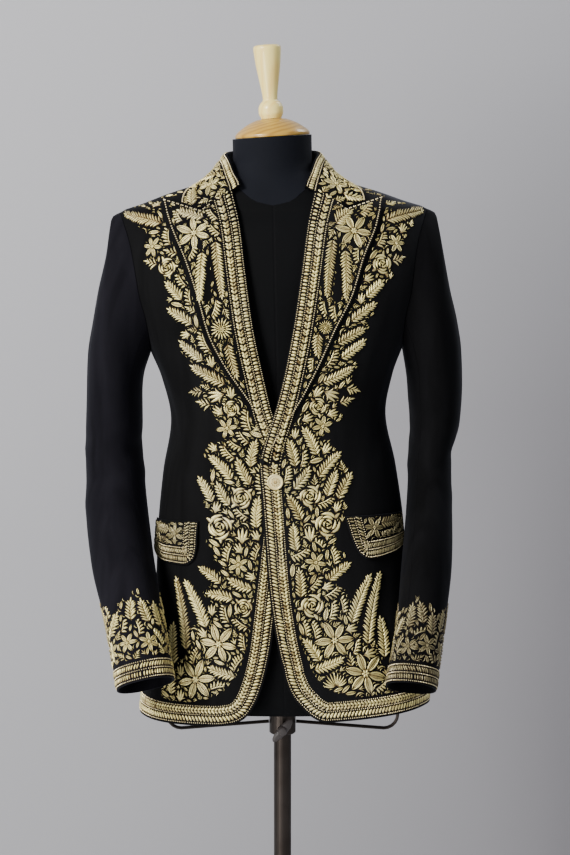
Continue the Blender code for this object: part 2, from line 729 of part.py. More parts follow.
def add_object(name, mesh, look, collection):
    """The mesh as a named sub-part with its own material."""
    mesh.materials.clear()
    mesh.materials.append(material(name, look))
    mesh.shade_smooth()
    mesh.set_sharp_from_angle(angle=math.radians(40))
    made = bpy.data.objects.new(name, mesh)
    collection.objects.link(made)
    return made


def cloth(name, columns, rows, place, collection, look=VELVET):
    """A cut piece: a grid at place(column, row, 0), extruded to place(column, row, CLOTH)."""
    form = bmesh.new()
    bmesh.ops.create_grid(form, x_segments=columns, y_segments=rows, size=1.0)
    column = form.verts.layers.int.new("column")
    row = form.verts.layers.int.new("row")
    for vertex in form.verts:
        vertex[column] = round((vertex.co.x + 1) / 2 * columns)
        vertex[row] = round((vertex.co.y + 1) / 2 * rows)
        vertex.co = settle(place(vertex[column], vertex[row], 0.0))
    copied = bmesh.ops.extrude_face_region(form, geom=form.faces[:], use_keep_orig=True)
    for item in copied["geom"]:
        if isinstance(item, bmesh.types.BMVert):
            item.co = settle(place(item[column], item[row], CLOTH))
    bmesh.ops.recalc_face_normals(form, faces=form.faces)
    mesh = bpy.data.meshes.new(name)
    form.to_mesh(mesh)
    form.free()
    return add_object(name, mesh, look, collection)


def make_body_panels(collection):
    fore, aft = panel_rows(FORE_STATIONS), panel_rows(AFT_STATIONS)
    for side in (1, -1):
        word = side_name(side)
        cloth(
            f"front_{word}", FRONT_COLUMNS, len(fore) - 1,
            lambda i, k, depth: front_point(side, i / FRONT_COLUMNS, fore[k], depth), collection,
        )
        cloth(
            f"side_{word}", len(UNDER_STATIONS) - 1, len(LOWER_ROWS) - 1,
            lambda i, k, depth: side_point(side, i, k, depth), collection,
        )
        cloth(
            f"back_{word}", BACK_COLUMNS, len(aft) - 1,
            lambda i, k, depth: back_point(side, i / BACK_COLUMNS, aft[k], depth), collection,
        )


def make_sleeves(collection):
    """Each sleeve's top and under pieces, from the armhole to an open cuff."""
    step = math.degrees(GAP / 2 / 0.045)
    top = list(AFT_STATIONS[2:-1]) + list(reversed(FORE_STATIONS))
    under = list(UNDER_STATIONS) + [360 + station for station in AFT_STATIONS[1:3]]
    for name, angles in (("top_sleeve", top), ("under_sleeve", under)):
        angles[0] += step
        angles[-1] -= step
        for side in (1, -1):
            cloth(
                f"{name}_{side_name(side)}", len(angles) - 1, len(SLEEVE_ROWS) - 1,
                lambda i, k, depth: sleeve_point(side, angles[i], SLEEVE_ROWS[k], depth), collection,
            )


def make_lapels(collection):
    for side in (1, -1):
        cloth(
            f"lapel_{side_name(side)}", ROLL_STEPS + LAPEL_STEPS, LAPEL_ROWS,
            lambda i, k, depth: lapel_point(side, i, 1 - (1 - k / LAPEL_ROWS) ** 1.5, depth), collection,
        )


def make_collar(collection):
    cloth(
        "collar", 1 + ROLL_STEPS + COLLAR_FALL, COLLAR_ROWS,
        lambda i, k, depth: collar_point(i, 2 * k / COLLAR_ROWS - 1, depth), collection,
    )


def make_flaps(collection):
    for side in (1, -1):
        cloth(
            f"pocket_flap_{side_name(side)}", FLAP_COLUMNS, len(FLAP_RISES) - 1,
            lambda i, k, depth: flap_point(side, i / FLAP_COLUMNS, FLAP_RISES[k], depth), collection,
        )


def turned_mesh(name, profile, steps):
    """A profile of (radius, height) turned round Z, top to bottom, as a closed mesh."""
    mesh = bpy.data.meshes.new(name)
    points = [(radius, 0.0, height) for radius, height in profile]
    mesh.from_pydata(points, [(k, k + 1) for k in range(len(points) - 1)], [])
    helper = bpy.data.objects.new(name + "_profile", mesh)
    bpy.context.scene.collection.objects.link(helper)
    screw = helper.modifiers.new("Turn", "SCREW")
    screw.steps = steps
    screw.render_steps = steps
    screw.use_merge_vertices = True
    screw.merge_threshold = 1e-5
    graph = bpy.context.evaluated_depsgraph_get()
    made = bpy.data.meshes.new_from_object(helper.evaluated_get(graph))
    bpy.data.objects.remove(helper)
    form = bmesh.new()
    form.from_mesh(made)
    bmesh.ops.remove_doubles(form, verts=form.verts, dist=1e-6)
    bmesh.ops.recalc_face_normals(form, faces=form.faces)
    form.to_mesh(made)
    form.free()
    made.name = name
    return made


def button_profile(radius, thick):
    """A domed button with a raised rim, on a short shank."""
    return (
        (0.0, thick * 0.92),
        (radius * 0.45, thick * 0.86),
        (radius * 0.78, thick * 0.70),
        (radius * 0.86, thick * 1.0),
        (radius * 0.97, thick * 0.88),
        (radius, thick * 0.62),
        (radius * 0.88, thick * 0.34),
        (radius * 0.35, thick * 0.30),
        (radius * 0.30, 0.0),
        (0.0, 0.0),
    )


def cuff_button_profile(radius, thick):
    """A small domed button on a short shank."""
    return (
        (0.0, thick),
        (radius * 0.80, thick * 0.86),
        (radius, thick * 0.64),
        (radius * 0.36, thick * 0.44),
        (radius * 0.36, 0.0),
        (0.0, 0.0),
    )


def seated(mesh, place, carrier):
    """Stands a turned mesh on the carrier's cloth, at the point nearest to this place."""
    _, spot, normal, _ = carrier.closest_point_on_mesh(place)
    turn = Vector((0, 0, 1)).rotation_difference(normal).to_matrix().to_4x4()
    mesh.transform(Matrix.Translation(spot + normal * BUTTON_LIFT) @ turn)
    return mesh


def make_buttons(collection):
    angle = angle_at(BUTTON_OFFSET, BUTTON_HEIGHT)
    lift = front_lap(1, BUTTON_OFFSET, BUTTON_HEIGHT)
    place = settle(coat_point(angle, BUTTON_HEIGHT, lift))
    mesh = turned_mesh("front_button", button_profile(BUTTON_RADIUS, BUTTON_THICK), 20)
    add_object("front_button", seated(mesh, place, bpy.data.objects["front_left"]), BRASS, collection)
    for side in (1, -1):
        rounds = LEFT_SLEEVE if side > 0 else RIGHT_SLEEVE
        sleeve = bpy.data.objects[f"top_sleeve_{side_name(side)}"]
        length = armhole_point(CUFF_BUTTON_ANGLE).z - rounds[-1].height
        for k in range(CUFF_BUTTONS):
            t = 1 - (CUFF_BUTTON_FIRST + k * CUFF_BUTTON_PITCH) / length
            name = f"cuff_button_{side_name(side)}_{k + 1}"
            place = settle(sleeve_surface(side, CUFF_BUTTON_ANGLE, t))
            mesh = turned_mesh(name, cuff_button_profile(CUFF_BUTTON_RADIUS, CUFF_BUTTON_THICK), 10)
            add_object(name, seated(mesh, place, sleeve), BRASS, collection)


def form_surface(angle, height):
    """The form's surface, which meets the coat's inside along the shoulders."""
    free = on_section(FORM, angle, height)
    contact = ramp(1.388, 1.3985, height) * (1 - ramp(1.422, 1.431, height))
    if not contact:
        return free
    held = coat_point(angle, height, -CLOTH - REST)
    return free + (held - free) * contact


def settle_form(point):
    """The form leans with the coat, but its bottom is cut level."""
    settled = settle(point)
    level = 1 - ramp(FORM_BOTTOM, FORM_BOTTOM + 0.25, point.z)
    return Vector((settled.x, settled.y, settled.z + (point.z - settled.z) * level))


def neck_seam(angle):
    return read(NECK_SEAM, abs(turned(angle)), by="angle").height


def loft(name, rings, look, collection):
    """A closed body through rings of points, with a fan over each end."""
    form = bmesh.new()
    rows = [[form.verts.new(point) for point in ring] for ring in rings]
    count = len(rows[0])
    for low, high in zip(rows, rows[1:]):
        for k in range(count):
            form.faces.new((low[k], low[(k + 1) % count], high[(k + 1) % count], high[k]))
    for row in (rows[0], rows[-1]):
        middle = form.verts.new(sum((v.co for v in row), Vector()) / count)
        for k in range(count):
            form.faces.new((row[k], row[(k + 1) % count], middle))
    bmesh.ops.recalc_face_normals(form, faces=form.faces)
    mesh = bpy.data.meshes.new(name)
    form.to_mesh(mesh)
    form.free()
    return add_object(name, mesh, look, collection)


def torso_rings(angles):
    """The torso's rings from its flat bottom up to the seam at the base of the neck."""
    rings = []
    for height in FORM_LEVELS:
        tuck = 1 - 0.048 * (1 - ramp(FORM_BOTTOM, FORM_BOTTOM + 0.012, height))
        ring = [on_section(FORM, angle, height) for angle in angles]
        rings.append([settle_form(Vector((p.x * tuck, p.y * tuck, p.z))) for p in ring])
    base = FORM_LEVELS[-1]
    for share in SHOULDER_SHARES:
        ring = [form_surface(a, base + (neck_seam(a) - GAP - base) * share) for a in angles]
        rings.append([settle_form(point) for point in ring])
    return rings


def neck_rings(angles):
    """The neck's rings from its seam up to the sloping underside of the cap."""
    rings = []
    for share in NECK_SHARES:
        ring = []
        for angle in angles:
            seam = neck_seam(angle) + GAP
            point = settle(form_surface(angle, seam + (NECK_TOP - seam) * share))
            top = settle(form_surface(angle, NECK_TOP))
            level = CAP_PLACE.z - math.tan(CAP_TILT) * (top.x - CAP_PLACE.x) - GAP
            point.z += (level - top.z) * share**2
            ring.append(point)
        rings.append(ring)
    return rings


def cylinder(name, radius, bottom, top, sides, collection):
    """A closed cylinder object on the Z axis between two heights."""
    form = bmesh.new()
    bmesh.ops.create_cone(
        form, cap_ends=True, segments=sides, radius1=radius, radius2=radius, depth=top - bottom
    )
    bmesh.ops.translate(form, verts=form.verts, vec=(0, 0, (top + bottom) / 2))
    mesh = bpy.data.meshes.new(name)
    form.to_mesh(mesh)
    form.free()
    made = bpy.data.objects.new(name, mesh)
    collection.objects.link(made)
    return made


def subtract(target, cutter, operation="DIFFERENCE"):
    """A Boolean with the exact solver, a difference unless another operation is named."""
    cutter.hide_render = True
    cutter.display_type = "WIRE"
    cut = target.modifiers.new("Cut " + cutter.name, "BOOLEAN")
    cut.operation = operation
    cut.solver = "EXACT"
    cut.object = cutter


def make_form(collection, cutters):
    angles = [360.0 * k / FORM_SIDES for k in range(FORM_SIDES)]
    torso = loft("form_torso", torso_rings(angles), JERSEY, collection)
    loft("form_neck", neck_rings(angles), NECK_CLOTH, collection)
    bore = cylinder("pole_bore", FORM_BORE, FORM_BOTTOM - 0.01, BORE_TOP, 24, cutters)
    subtract(torso, bore)


def make_cap(collection):
    """The wooden neck cap and the turned finial on it, leaning with the neck."""
    tilt = Matrix.Rotation(CAP_TILT, 4, "Y")
    place = Matrix.Translation(CAP_PLACE) @ tilt
    cap = turned_mesh(
        "neck_cap",
        (
            (0.0, CAP_HEIGHT),
            (0.0150, CAP_HEIGHT),
            (0.0300, 0.0200),
            (0.0420, 0.0130),
            (0.0495, 0.0070),
            (CAP_RADIUS, 0.0035),
            (CAP_RADIUS, 0.0010),
            (0.0510, 0.0),
            (0.0, 0.0),
        ),
        28,
    )
    cap.transform(place)
    add_object("neck_cap", cap, WOOD, collection)
    top = FINIAL_HEIGHT
    finial = turned_mesh(
        "finial",
        (
            (0.0, top + 0.0012),
            (0.0150, top),
            (0.0186, top - 0.0020),
            (0.0192, top - 0.0055),
            (0.0175, top - 0.0240),
            (0.0138, top - 0.0480),
            (0.0104, top - 0.0700),
            (0.0102, top - 0.0750),
            (0.0145, top - 0.0800),
            (0.0172, top - 0.0870),
            (0.0172, top - 0.0930),
            (0.0150, top - 0.0985),
            (0.0135, 0.0),
            (0.0, 0.0),
        ),
        20,
    )
    finial.transform(place @ Matrix.Translation((0, 0, CAP_HEIGHT + GAP)))
    add_object("finial", finial, WOOD, collection)


def make_stand(collection, cutters):
    """The socket under the form, its clamp screw and rods, the pole and its base."""
    flange_top = FORM_BOTTOM - GAP
    profile = (
        (0.0, flange_top),
        (FLANGE_RADIUS, flange_top),
        (FLANGE_RADIUS, flange_top - FLANGE_THICK),
        (SOCKET_RADIUS + 0.0015, flange_top - FLANGE_THICK - 0.001),
        (SOCKET_RADIUS, flange_top - FLANGE_THICK - 0.004),
        (SOCKET_RADIUS, SOCKET_BOTTOM + 0.0015),
        (SOCKET_RADIUS - 0.0015, SOCKET_BOTTOM),
        (0.0, SOCKET_BOTTOM),
    )
    socket = add_object("socket", turned_mesh("socket", profile, 28), STEEL, collection)
    bore = cylinder("socket_bore", SOCKET_BORE, SOCKET_BOTTOM - 0.01, FORM_BOTTOM + 0.01, 28, cutters)
    subtract(socket, bore)
    tapped = cylinder("screw_bore", SCREW_BORE, 0.006, 0.030, 12, cutters)
    tapped.data.transform(SCREW_FRAME)
    subtract(socket, tapped)
    add_object(
        "pole",
        turned_mesh(
            "pole",
            (
                (0.0, POLE_TOP),
                (POLE_RADIUS - 0.001, POLE_TOP),
                (POLE_RADIUS, POLE_TOP - 0.001),
                (POLE_RADIUS, POLE_FOOT + GAP),
                (0.0, POLE_FOOT + GAP),
            ),
            28,
        ),
        STEEL,
        collection,
    )
    base = (
        (0.0, POLE_FOOT),
        (0.0240, POLE_FOOT),
        (0.0260, POLE_FOOT - 0.002),
        (0.0270, BASE_THICK + 0.001),
        (BASE_RADIUS - 0.022, BASE_THICK - 0.001),
        (BASE_RADIUS - 0.006, BASE_THICK - 0.005),
        (BASE_RADIUS, BASE_THICK - 0.011),
        (BASE_RADIUS, 0.002),
        (BASE_RADIUS - 0.002, 0.0),
        (0.0, 0.0),
    )
    add_object("base", turned_mesh("base", base, 40), STEEL, collection)


def make_clamp_screw(collection, cutters):
    """The screw through the socket's front and the wing knob on its head."""
    profile = (
        (0.0, 0.0330),
        (0.0050, 0.0325),
        (0.0072, 0.0305),
        (0.0072, 0.0215),
        (0.0060, 0.0202),
        (SCREW_RADIUS, 0.0202),
        (SCREW_RADIUS, 0.0136),
        (0.0018, 0.0128),
        (0.0, 0.0128),
    )
    mesh = turned_mesh("clamp_screw", profile, 12)
    mesh.transform(SCREW_FRAME)
    screw = add_object("clamp_screw", mesh, KNOB_PLASTIC, collection)
    form = bmesh.new()
    bmesh.ops.create_uvsphere(form, u_segments=12, v_segments=8, radius=1.0)
    bmesh.ops.scale(form, verts=form.verts, vec=WING_SIZE)
    turn = Matrix.Translation((0, 0, 0.0275)) @ Matrix.Rotation(WING_TURN, 4, "Z")
    bmesh.ops.transform(form, matrix=SCREW_FRAME @ turn, verts=form.verts)
    wing = bpy.data.meshes.new("wing")
    form.to_mesh(wing)
    form.free()
    made = bpy.data.objects.new("wing", wing)
    cutters.objects.link(made)
    subtract(screw, made, "UNION")


def make_rods(collection):
    """The bent rods that run out from the socket and turn up under the form."""
    for side in (1, -1):
        name = f"rod_{side_name(side)}"
        path = [Vector((SOCKET_RADIUS + GAP + 0.0002, 0, ROD_HEIGHT))]
        heart = Vector((ROD_REACH - ROD_BEND, 0, ROD_HEIGHT - ROD_FALL + ROD_BEND))
        for k in range(6):
            turn = math.radians(18 * k)
            path.append(heart + Vector((math.sin(turn), 0, -math.cos(turn))) * ROD_BEND)
        path.append(Vector((ROD_REACH, 0, FORM_BOTTOM - GAP)))
        curve = bpy.data.curves.new(name, "CURVE")
        curve.dimensions = "3D"
        curve.bevel_depth = ROD_RADIUS
        curve.bevel_resolution = 1
        curve.use_fill_caps = True
        line = curve.splines.new("POLY")
        line.points.add(len(path) - 1)
        for point, place in zip(line.points, path):
            point.co = (side * place.x, place.y, place.z, 1.0)
        helper = bpy.data.objects.new(name + "_line", curve)
        bpy.context.scene.collection.objects.link(helper)
        graph = bpy.context.evaluated_depsgraph_get()
        mesh = bpy.data.meshes.new_from_object(helper.evaluated_get(graph))
        bpy.data.objects.remove(helper)
        add_object(name, mesh, STEEL, collection)


def clear_scene():
    for old in list(bpy.data.objects):
        bpy.data.objects.remove(old)


def main():
    clear_scene()
    parts = bpy.data.collections.new("blazer_on_form")
    cutters = bpy.data.collections.new("cutters")
    cutters.hide_render = True
    bpy.context.scene.collection.children.link(parts)
    bpy.context.scene.collection.children.link(cutters)
    make_body_panels(parts)
    make_sleeves(parts)
    make_lapels(parts)
    make_collar(parts)
    make_flaps(parts)
    make_buttons(parts)
    make_form(parts, cutters)
    make_cap(parts)
    make_stand(parts, cutters)
    make_clamp_screw(parts, cutters)
    make_rods(parts)


main()
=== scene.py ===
"""A one-button velvet blazer worked in gold thread, on a limbless dress form.

The cloth, the form and the fittings stand in the CAD's own frame: the origin is on
the floor under the pole, +Z is up and the fronts face -Y. Cloth pieces are grids on
the coat's surface, and every stitch is laid on them through a chart: a pair of
coordinates in metres that lies on one piece of cloth.
"""

import logging
import math
from dataclasses import dataclass
from enum import Enum
from functools import partial
from typing import Any, Callable, Sequence

import bmesh
import bpy
import numpy as np
from mathutils import Matrix, Vector


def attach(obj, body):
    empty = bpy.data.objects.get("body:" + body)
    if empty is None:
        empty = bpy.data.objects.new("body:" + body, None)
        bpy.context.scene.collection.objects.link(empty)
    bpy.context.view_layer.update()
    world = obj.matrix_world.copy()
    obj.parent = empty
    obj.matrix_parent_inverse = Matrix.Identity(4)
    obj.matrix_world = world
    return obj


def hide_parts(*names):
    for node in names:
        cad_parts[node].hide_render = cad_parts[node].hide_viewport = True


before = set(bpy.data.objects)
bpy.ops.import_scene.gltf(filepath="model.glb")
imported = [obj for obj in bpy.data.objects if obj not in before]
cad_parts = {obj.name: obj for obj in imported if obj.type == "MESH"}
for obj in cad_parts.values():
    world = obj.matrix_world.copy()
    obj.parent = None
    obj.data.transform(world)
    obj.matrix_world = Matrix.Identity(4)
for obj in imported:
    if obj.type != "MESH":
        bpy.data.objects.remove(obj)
log = logging.getLogger("blazer")
Array = np.ndarray
Material = bpy.types.Material
Mesh = bpy.types.Mesh
Object = bpy.types.Object
Place = Callable[[Array, Array, Array], Array]

GAP = 0.0003
CLOTH = 0.002
STEP_ANGLE = 0.3
STEP_HEIGHT = 0.0008
HEM = 0.682
ARMHOLE_BOTTOM = 1.1925
SHOULDER_TIP = 1.3855
NECKLINE = 1.442
BREAK = 1.047
LEAN = 0.022
LEAN_HEIGHT = 0.83
HEM_TILT = 0.042
SHOULDER_TILT = 0.012
BODY = "dressed_form"

# Level sections: height, half width, front, back, power
COAT = (
    (0.67, 0.207, 0.128, 0.132, 2.5), (0.76, 0.195, 0.122, 0.129, 2.5), (0.86, 0.179, 0.116, 0.124, 2.5),
    (0.95, 0.1735, 0.112, 0.116, 2.45), (1.025, 0.1645, 0.11, 0.104, 2.4),
    (1.099, 0.1515, 0.11, 0.096, 2.35), (1.155, 0.1625, 0.115, 0.1, 2.3), (1.1925, 0.177, 0.12, 0.107, 2.3),
    (1.24, 0.196, 0.123, 0.113, 2.3), (1.28, 0.211, 0.122, 0.116, 2.3), (1.33, 0.217, 0.112, 0.113, 2.2),
    (1.365, 0.2175, 0.096, 0.102, 2.1), (1.3855, 0.214, 0.083, 0.09, 2.0),
    (1.397, 0.183, 0.076, 0.082, 2.0), (1.411, 0.145, 0.069, 0.074, 2.0),
    (1.4215, 0.111, 0.064, 0.068, 2.0), (1.43, 0.088, 0.061, 0.064, 2.0), (1.442, 0.069, 0.059, 0.061, 2.0),
    (1.46, 0.061, 0.057, 0.058, 2.0),
)
FORM = (
    (0.6865, 0.185, 0.105, 0.108, 2.4), (0.76, 0.183, 0.109, 0.113, 2.4), (0.86, 0.172, 0.106, 0.112, 2.4),
    (0.95, 0.161, 0.102, 0.104, 2.4), (1.025, 0.148, 0.099, 0.093, 2.4), (1.099, 0.137, 0.098, 0.086, 2.35),
    (1.155, 0.146, 0.102, 0.09, 2.3), (1.1925, 0.156, 0.107, 0.097, 2.3), (1.24, 0.168, 0.112, 0.104, 2.3),
    (1.28, 0.176, 0.113, 0.108, 2.3), (1.33, 0.184, 0.105, 0.106, 2.2), (1.362, 0.189, 0.093, 0.098, 2.1),
    (1.3765, 0.189, 0.084, 0.091, 2.0), (1.3835, 0.184, 0.079, 0.086, 2.0),
    (1.3945, 0.181, 0.074, 0.0795, 2.0), (1.4085, 0.143, 0.0665, 0.0715, 2.0),
    (1.419, 0.109, 0.061, 0.065, 2.0), (1.4275, 0.086, 0.058, 0.061, 2.0),
    (1.441, 0.061, 0.055, 0.057, 2.0), (1.456, 0.055, 0.0545, 0.0545, 2.0),
    (1.486, 0.055, 0.055, 0.055, 2.0),
)
NECK_SEAM = (
    (0.0, 1.396), (8.0, 1.4015), (15.0, 1.411), (24.0, 1.4196), (32.0, 1.424), (50.0, 1.43), (90.0, 1.439),
    (180.0, 1.452),
)
# Free edges and roll lines: height, left, right
FRONT_EDGES = (
    (0.682, 0.056, 0.09), (0.6855, 0.0465, 0.068), (0.6985, 0.0297, 0.049), (0.73, 0.0069, 0.032),
    (0.781, -0.0057, 0.0181), (0.83, -0.0135, 0.0105), (0.88, -0.0185, 0.0035), (0.933, -0.0215, -0.004),
    (1.006, -0.0253, -0.012), (1.041, -0.0273, -0.014), (1.053, -0.0246, -0.013), (1.075, -0.0183, -0.007),
    (1.1145, -0.005, 0.0065), (1.168, 0.0097, 0.0178), (1.2385, 0.0245, 0.0305), (1.3068, 0.036, 0.0383),
    (1.3675, 0.0457, 0.0448), (1.41, 0.056, 0.054),
)
NECK_EDGES = (
    (1.398, -0.1), (1.411, 0.07), (1.4225, 0.0705), (1.432, 0.07), (1.442, 0.0688),
)
LAPEL_EDGES = (
    (1.044, -0.0215, -0.0085), (1.0895, 0.006, 0.0152), (1.1405, 0.0385, 0.0466), (1.179, 0.059, 0.0714),
    (1.2255, 0.081, 0.0935), (1.272, 0.1052, 0.1056), (1.324, 0.1226, 0.1221), (1.365, 0.1407, 0.1397),
    (1.403, 0.1506, 0.152),
)
ROLL_TOP = 1.4095
PEAK = 1.403
NOTCH_SHARE = 0.44
NOTCH_DIP = 0.0195
ROLL_RADIUS = 0.0026
ROLL_BULGE = 0.0025
LAPEL_RISE = 0.0012
LAPEL_OUT = 2 * ROLL_RADIUS - CLOTH
LAPEL_LENGTH = 0.378
# How far the lapel's top reaches up at the roll to meet the collar's end
GORGE_LIFT = 0.007
LAPS = (
    (0.682, 0.0032), (0.99, 0.0034), (1.036, 0.0066), (1.12, 0.007), (1.165, 0.002), (1.195, 0.0),
)
LAP_REACH = 0.06
ARM_FORE = 29.0
ARM_AFT = 30.0
ARM_POWER = 0.8
ARM_MIDDLE = (SHOULDER_TIP + ARMHOLE_BOTTOM) / 2
ARM_HALF = (SHOULDER_TIP - ARMHOLE_BOTTOM) / 2
FORE_STATION = 128.0
AFT_STATION = -137.3
# The skirt's soft flutes: place, width and depth
FLUTES = (
    (-152.0, 13.0, 0.005), (-118.0, 11.0, 0.004), (-86.0, 10.0, 0.0028), (80.0, 10.0, 0.0034),
    (112.0, 12.0, 0.0036), (146.0, 14.0, 0.0055),
)
FLUTE_TOP = 1.02
# Sleeves: height, outer, inner, fore, aft, pitch, sway; both heads are alike
SLEEVE_HEAD = (
    (1.3868, 0.2225, 0.215, -0.008, 0.012, 0.0, 0.0), (1.379, 0.2262, 0.211, -0.026, 0.03, 0.0, 0.0),
    (1.36, 0.23, 0.204, -0.045, 0.051, 0.0, 0.0), (1.33, 0.235, 0.197, -0.06, 0.068, 0.0, 0.0),
)
RIGHT_SLEEVE = SLEEVE_HEAD + (
    (1.28, 0.248, 0.19, -0.069, 0.079, 0.0, 0.0),
    (1.236, 0.2572, 0.186, -0.072, 0.083, 0.0, 0.0),
    (1.19, 0.266, 0.185, -0.071, 0.084, 0.0, 0.0),
    (1.13, 0.2702, 0.192, -0.066, 0.083, 0.0, 0.0),
    (1.05, 0.2742, 0.193, -0.062, 0.074, 0.06, 0.0),
    (0.985, 0.2745, 0.1881, -0.075, 0.051, 0.22, 0.03),
    (0.905, 0.2652, 0.1786, -0.109, 0.005, 0.38, 0.12),
    (0.827, 0.244, 0.1642, -0.149, -0.05, 0.4, 0.19),
    (0.747, 0.2295, 0.15, -0.181, -0.083, 0.4, 0.19),
)
LEFT_SLEEVE = SLEEVE_HEAD + (
    (1.27, 0.2451, 0.189, -0.069, 0.079, 0.0, 0.0),
    (1.227, 0.254, 0.185, -0.072, 0.083, 0.0, 0.0),
    (1.184, 0.2595, 0.1815, -0.071, 0.084, 0.0, 0.0),
    (1.14, 0.2606, 0.1836, -0.068, 0.084, 0.0, 0.0),
    (1.075, 0.2558, 0.1845, -0.0655, 0.076, 0.05, 0.0),
    (1.032, 0.2438, 0.1825, -0.073, 0.064, 0.16, 0.02),
    (0.969, 0.2407, 0.1769, -0.102, 0.029, 0.32, 0.05),
    (0.8885, 0.2345, 0.166, -0.15, -0.033, 0.42, 0.12),
    (0.81, 0.2218, 0.1562, -0.174, -0.068, 0.4, 0.16),
    (0.732, 0.2085, 0.139, -0.197, -0.094, 0.4, 0.16),
)
SLEEVE_POWER = 2.2
SLEEVE_BLEND = 0.075
HEAD_BLEND = 0.008
ARM_GAP = 0.0006
SLEEVE_SEAMS = (-112.0, 128.0)
# Creases: height, place round the arm, half length, spread in degrees, depth inward
RIGHT_CREASES = (
    (1.062, 120.0, 0.018, 55.0, 0.004), (1.012, 70.0, 0.02, 45.0, 0.0028),
    (1.165, 170.0, 0.022, 50.0, 0.0035),
)
LEFT_CREASES = (
    (1.05, 10.0, 0.016, 50.0, 0.003), (1.09, 130.0, 0.02, 60.0, 0.0042), (0.985, 60.0, 0.018, 45.0, 0.0026),
)
# Fine sleeve folds: place round the arm, height, lean, half length, half width, depth
SLEEVE_FOLDS = (
    (70.0, 1.245, 84.0, 0.11, 0.01, -0.0013), (44.0, 1.215, 96.0, 0.12, 0.012, 0.0011),
    (20.0, 1.195, 88.0, 0.14, 0.009, -0.001), (-8.0, 1.225, 93.0, 0.12, 0.012, 0.001),
    (58.0, 1.085, 24.0, 0.045, 0.009, -0.0016), (40.0, 1.052, -16.0, 0.05, 0.01, 0.0015),
    (74.0, 1.026, 12.0, 0.04, 0.008, -0.0014), (30.0, 0.992, 30.0, 0.045, 0.01, 0.0012),
    (52.0, 0.925, 80.0, 0.07, 0.01, -0.0012), (14.0, 0.9, 98.0, 0.08, 0.011, 0.001),
    (150.0, 1.06, 15.0, 0.05, 0.01, -0.0016), (196.0, 1.02, -20.0, 0.045, 0.01, 0.0014),
    (170.0, 0.95, 75.0, 0.08, 0.012, -0.0012), (-60.0, 1.15, 86.0, 0.13, 0.013, -0.0012),
    (-84.0, 1.06, 94.0, 0.1, 0.012, 0.0012),
)
# Fine body folds: arc from the centre front, height, lean, half length, half width, depth
BODY_FOLDS = (
    (0.075, 1.03, 8.0, 0.055, 0.009, -0.001), (0.095, 0.996, -22.0, 0.06, 0.011, 0.0009),
    (-0.08, 1.036, 172.0, 0.055, 0.009, -0.001), (-0.1, 1.0, 204.0, 0.06, 0.01, 0.0009),
    (0.165, 1.105, 68.0, 0.085, 0.012, -0.0014), (-0.17, 1.1, 110.0, 0.09, 0.012, -0.0015),
    (0.142, 1.215, 74.0, 0.07, 0.012, 0.0012), (-0.14, 1.222, 104.0, 0.07, 0.011, 0.0012),
    (0.19, 0.985, 97.0, 0.06, 0.013, 0.0012), (-0.196, 0.978, 84.0, 0.065, 0.012, 0.0012),
    (0.148, 0.845, 86.0, 0.11, 0.013, -0.0015), (-0.152, 0.85, 93.0, 0.115, 0.012, -0.0016),
    (0.11, 0.985, 0.0, 0.07, 0.0035, -0.0009), (-0.118, 0.99, 2.0, 0.07, 0.0035, -0.0009),
    (0.33, 1.11, 20.0, 0.06, 0.01, -0.0016), (-0.325, 1.096, 160.0, 0.065, 0.01, -0.0016),
    (0.372, 1.15, 60.0, 0.07, 0.011, 0.0014), (-0.38, 1.142, 118.0, 0.075, 0.011, 0.0014),
    (0.352, 1.262, 78.0, 0.08, 0.013, -0.0016), (-0.35, 1.255, 100.0, 0.085, 0.013, -0.0016),
)
# The collar: fold x, y, z, seam angle and height, edge angle and height, dip at the notch
COLLAR = (
    (0.048, -0.0665, 1.4175, 28.0, 1.412, 44.4, 1.3985, 0.0155),
    (0.0515, -0.048, 1.438, 46.0, 1.43, 58.0, 1.413, 0.005),
    (0.058, -0.026, 1.4555, 66.0, 1.442, 74.0, 1.425, 0.0),
    (0.063, 0.002, 1.464, 90.0, 1.442, 92.0, 1.431, 0.0),
    (0.06, 0.032, 1.467, 120.0, 1.442, 118.0, 1.427, 0.0),
    (0.04, 0.056, 1.469, 150.0, 1.442, 148.0, 1.419, 0.0),
    (0.0, 0.065, 1.47, 180.0, 1.442, 180.0, 1.415, 0.0),
)
COLLAR_NOTCH = 0.6
COLLAR_SEAM = 0.0004
COLLAR_CLEAR = CLOTH + 0.0005
COLLAR_LENGTH = 0.205
# How the collar's ends turn down to the lapels: share of the fall, then out, fore and up
COLLAR_END = (
    (0.0, 0.25, 0.62, 1.0), (-0.0048, -0.0015, 0.0, 0.0), (0.0, -0.0018, -0.003, 0.0),
    (0.004, -0.0015, -0.0075, -0.0015),
)
# Pocket flaps: share up, fore angle left and right; share back, bottom and top heights
FLAP_FORES = (
    (0.0, 37.4, 43.0), (0.06, 35.2, 40.4), (0.18, 32.4, 37.8), (0.5, 29.0, 36.2), (1.0, 26.4, 36.3),
)
FLAP_ENDS = (
    (0.0, 0.9058, 0.9043, 0.967, 0.965), (0.15, 0.9045, 0.9033, 0.9665, 0.9645),
    (0.5, 0.907, 0.904, 0.9645, 0.962), (1.0, 0.915, 0.914, 0.961, 0.9586),
)
FLAP_AFTS = (74.0, 85.0)
FLAP_OUT = CLOTH + GAP + 0.0004
FLAP_SLACK = 0.0009
FLAP_LIFT = 0.0018
FLAP_HEIGHT = 0.059
FLAP_LENGTH = 0.13


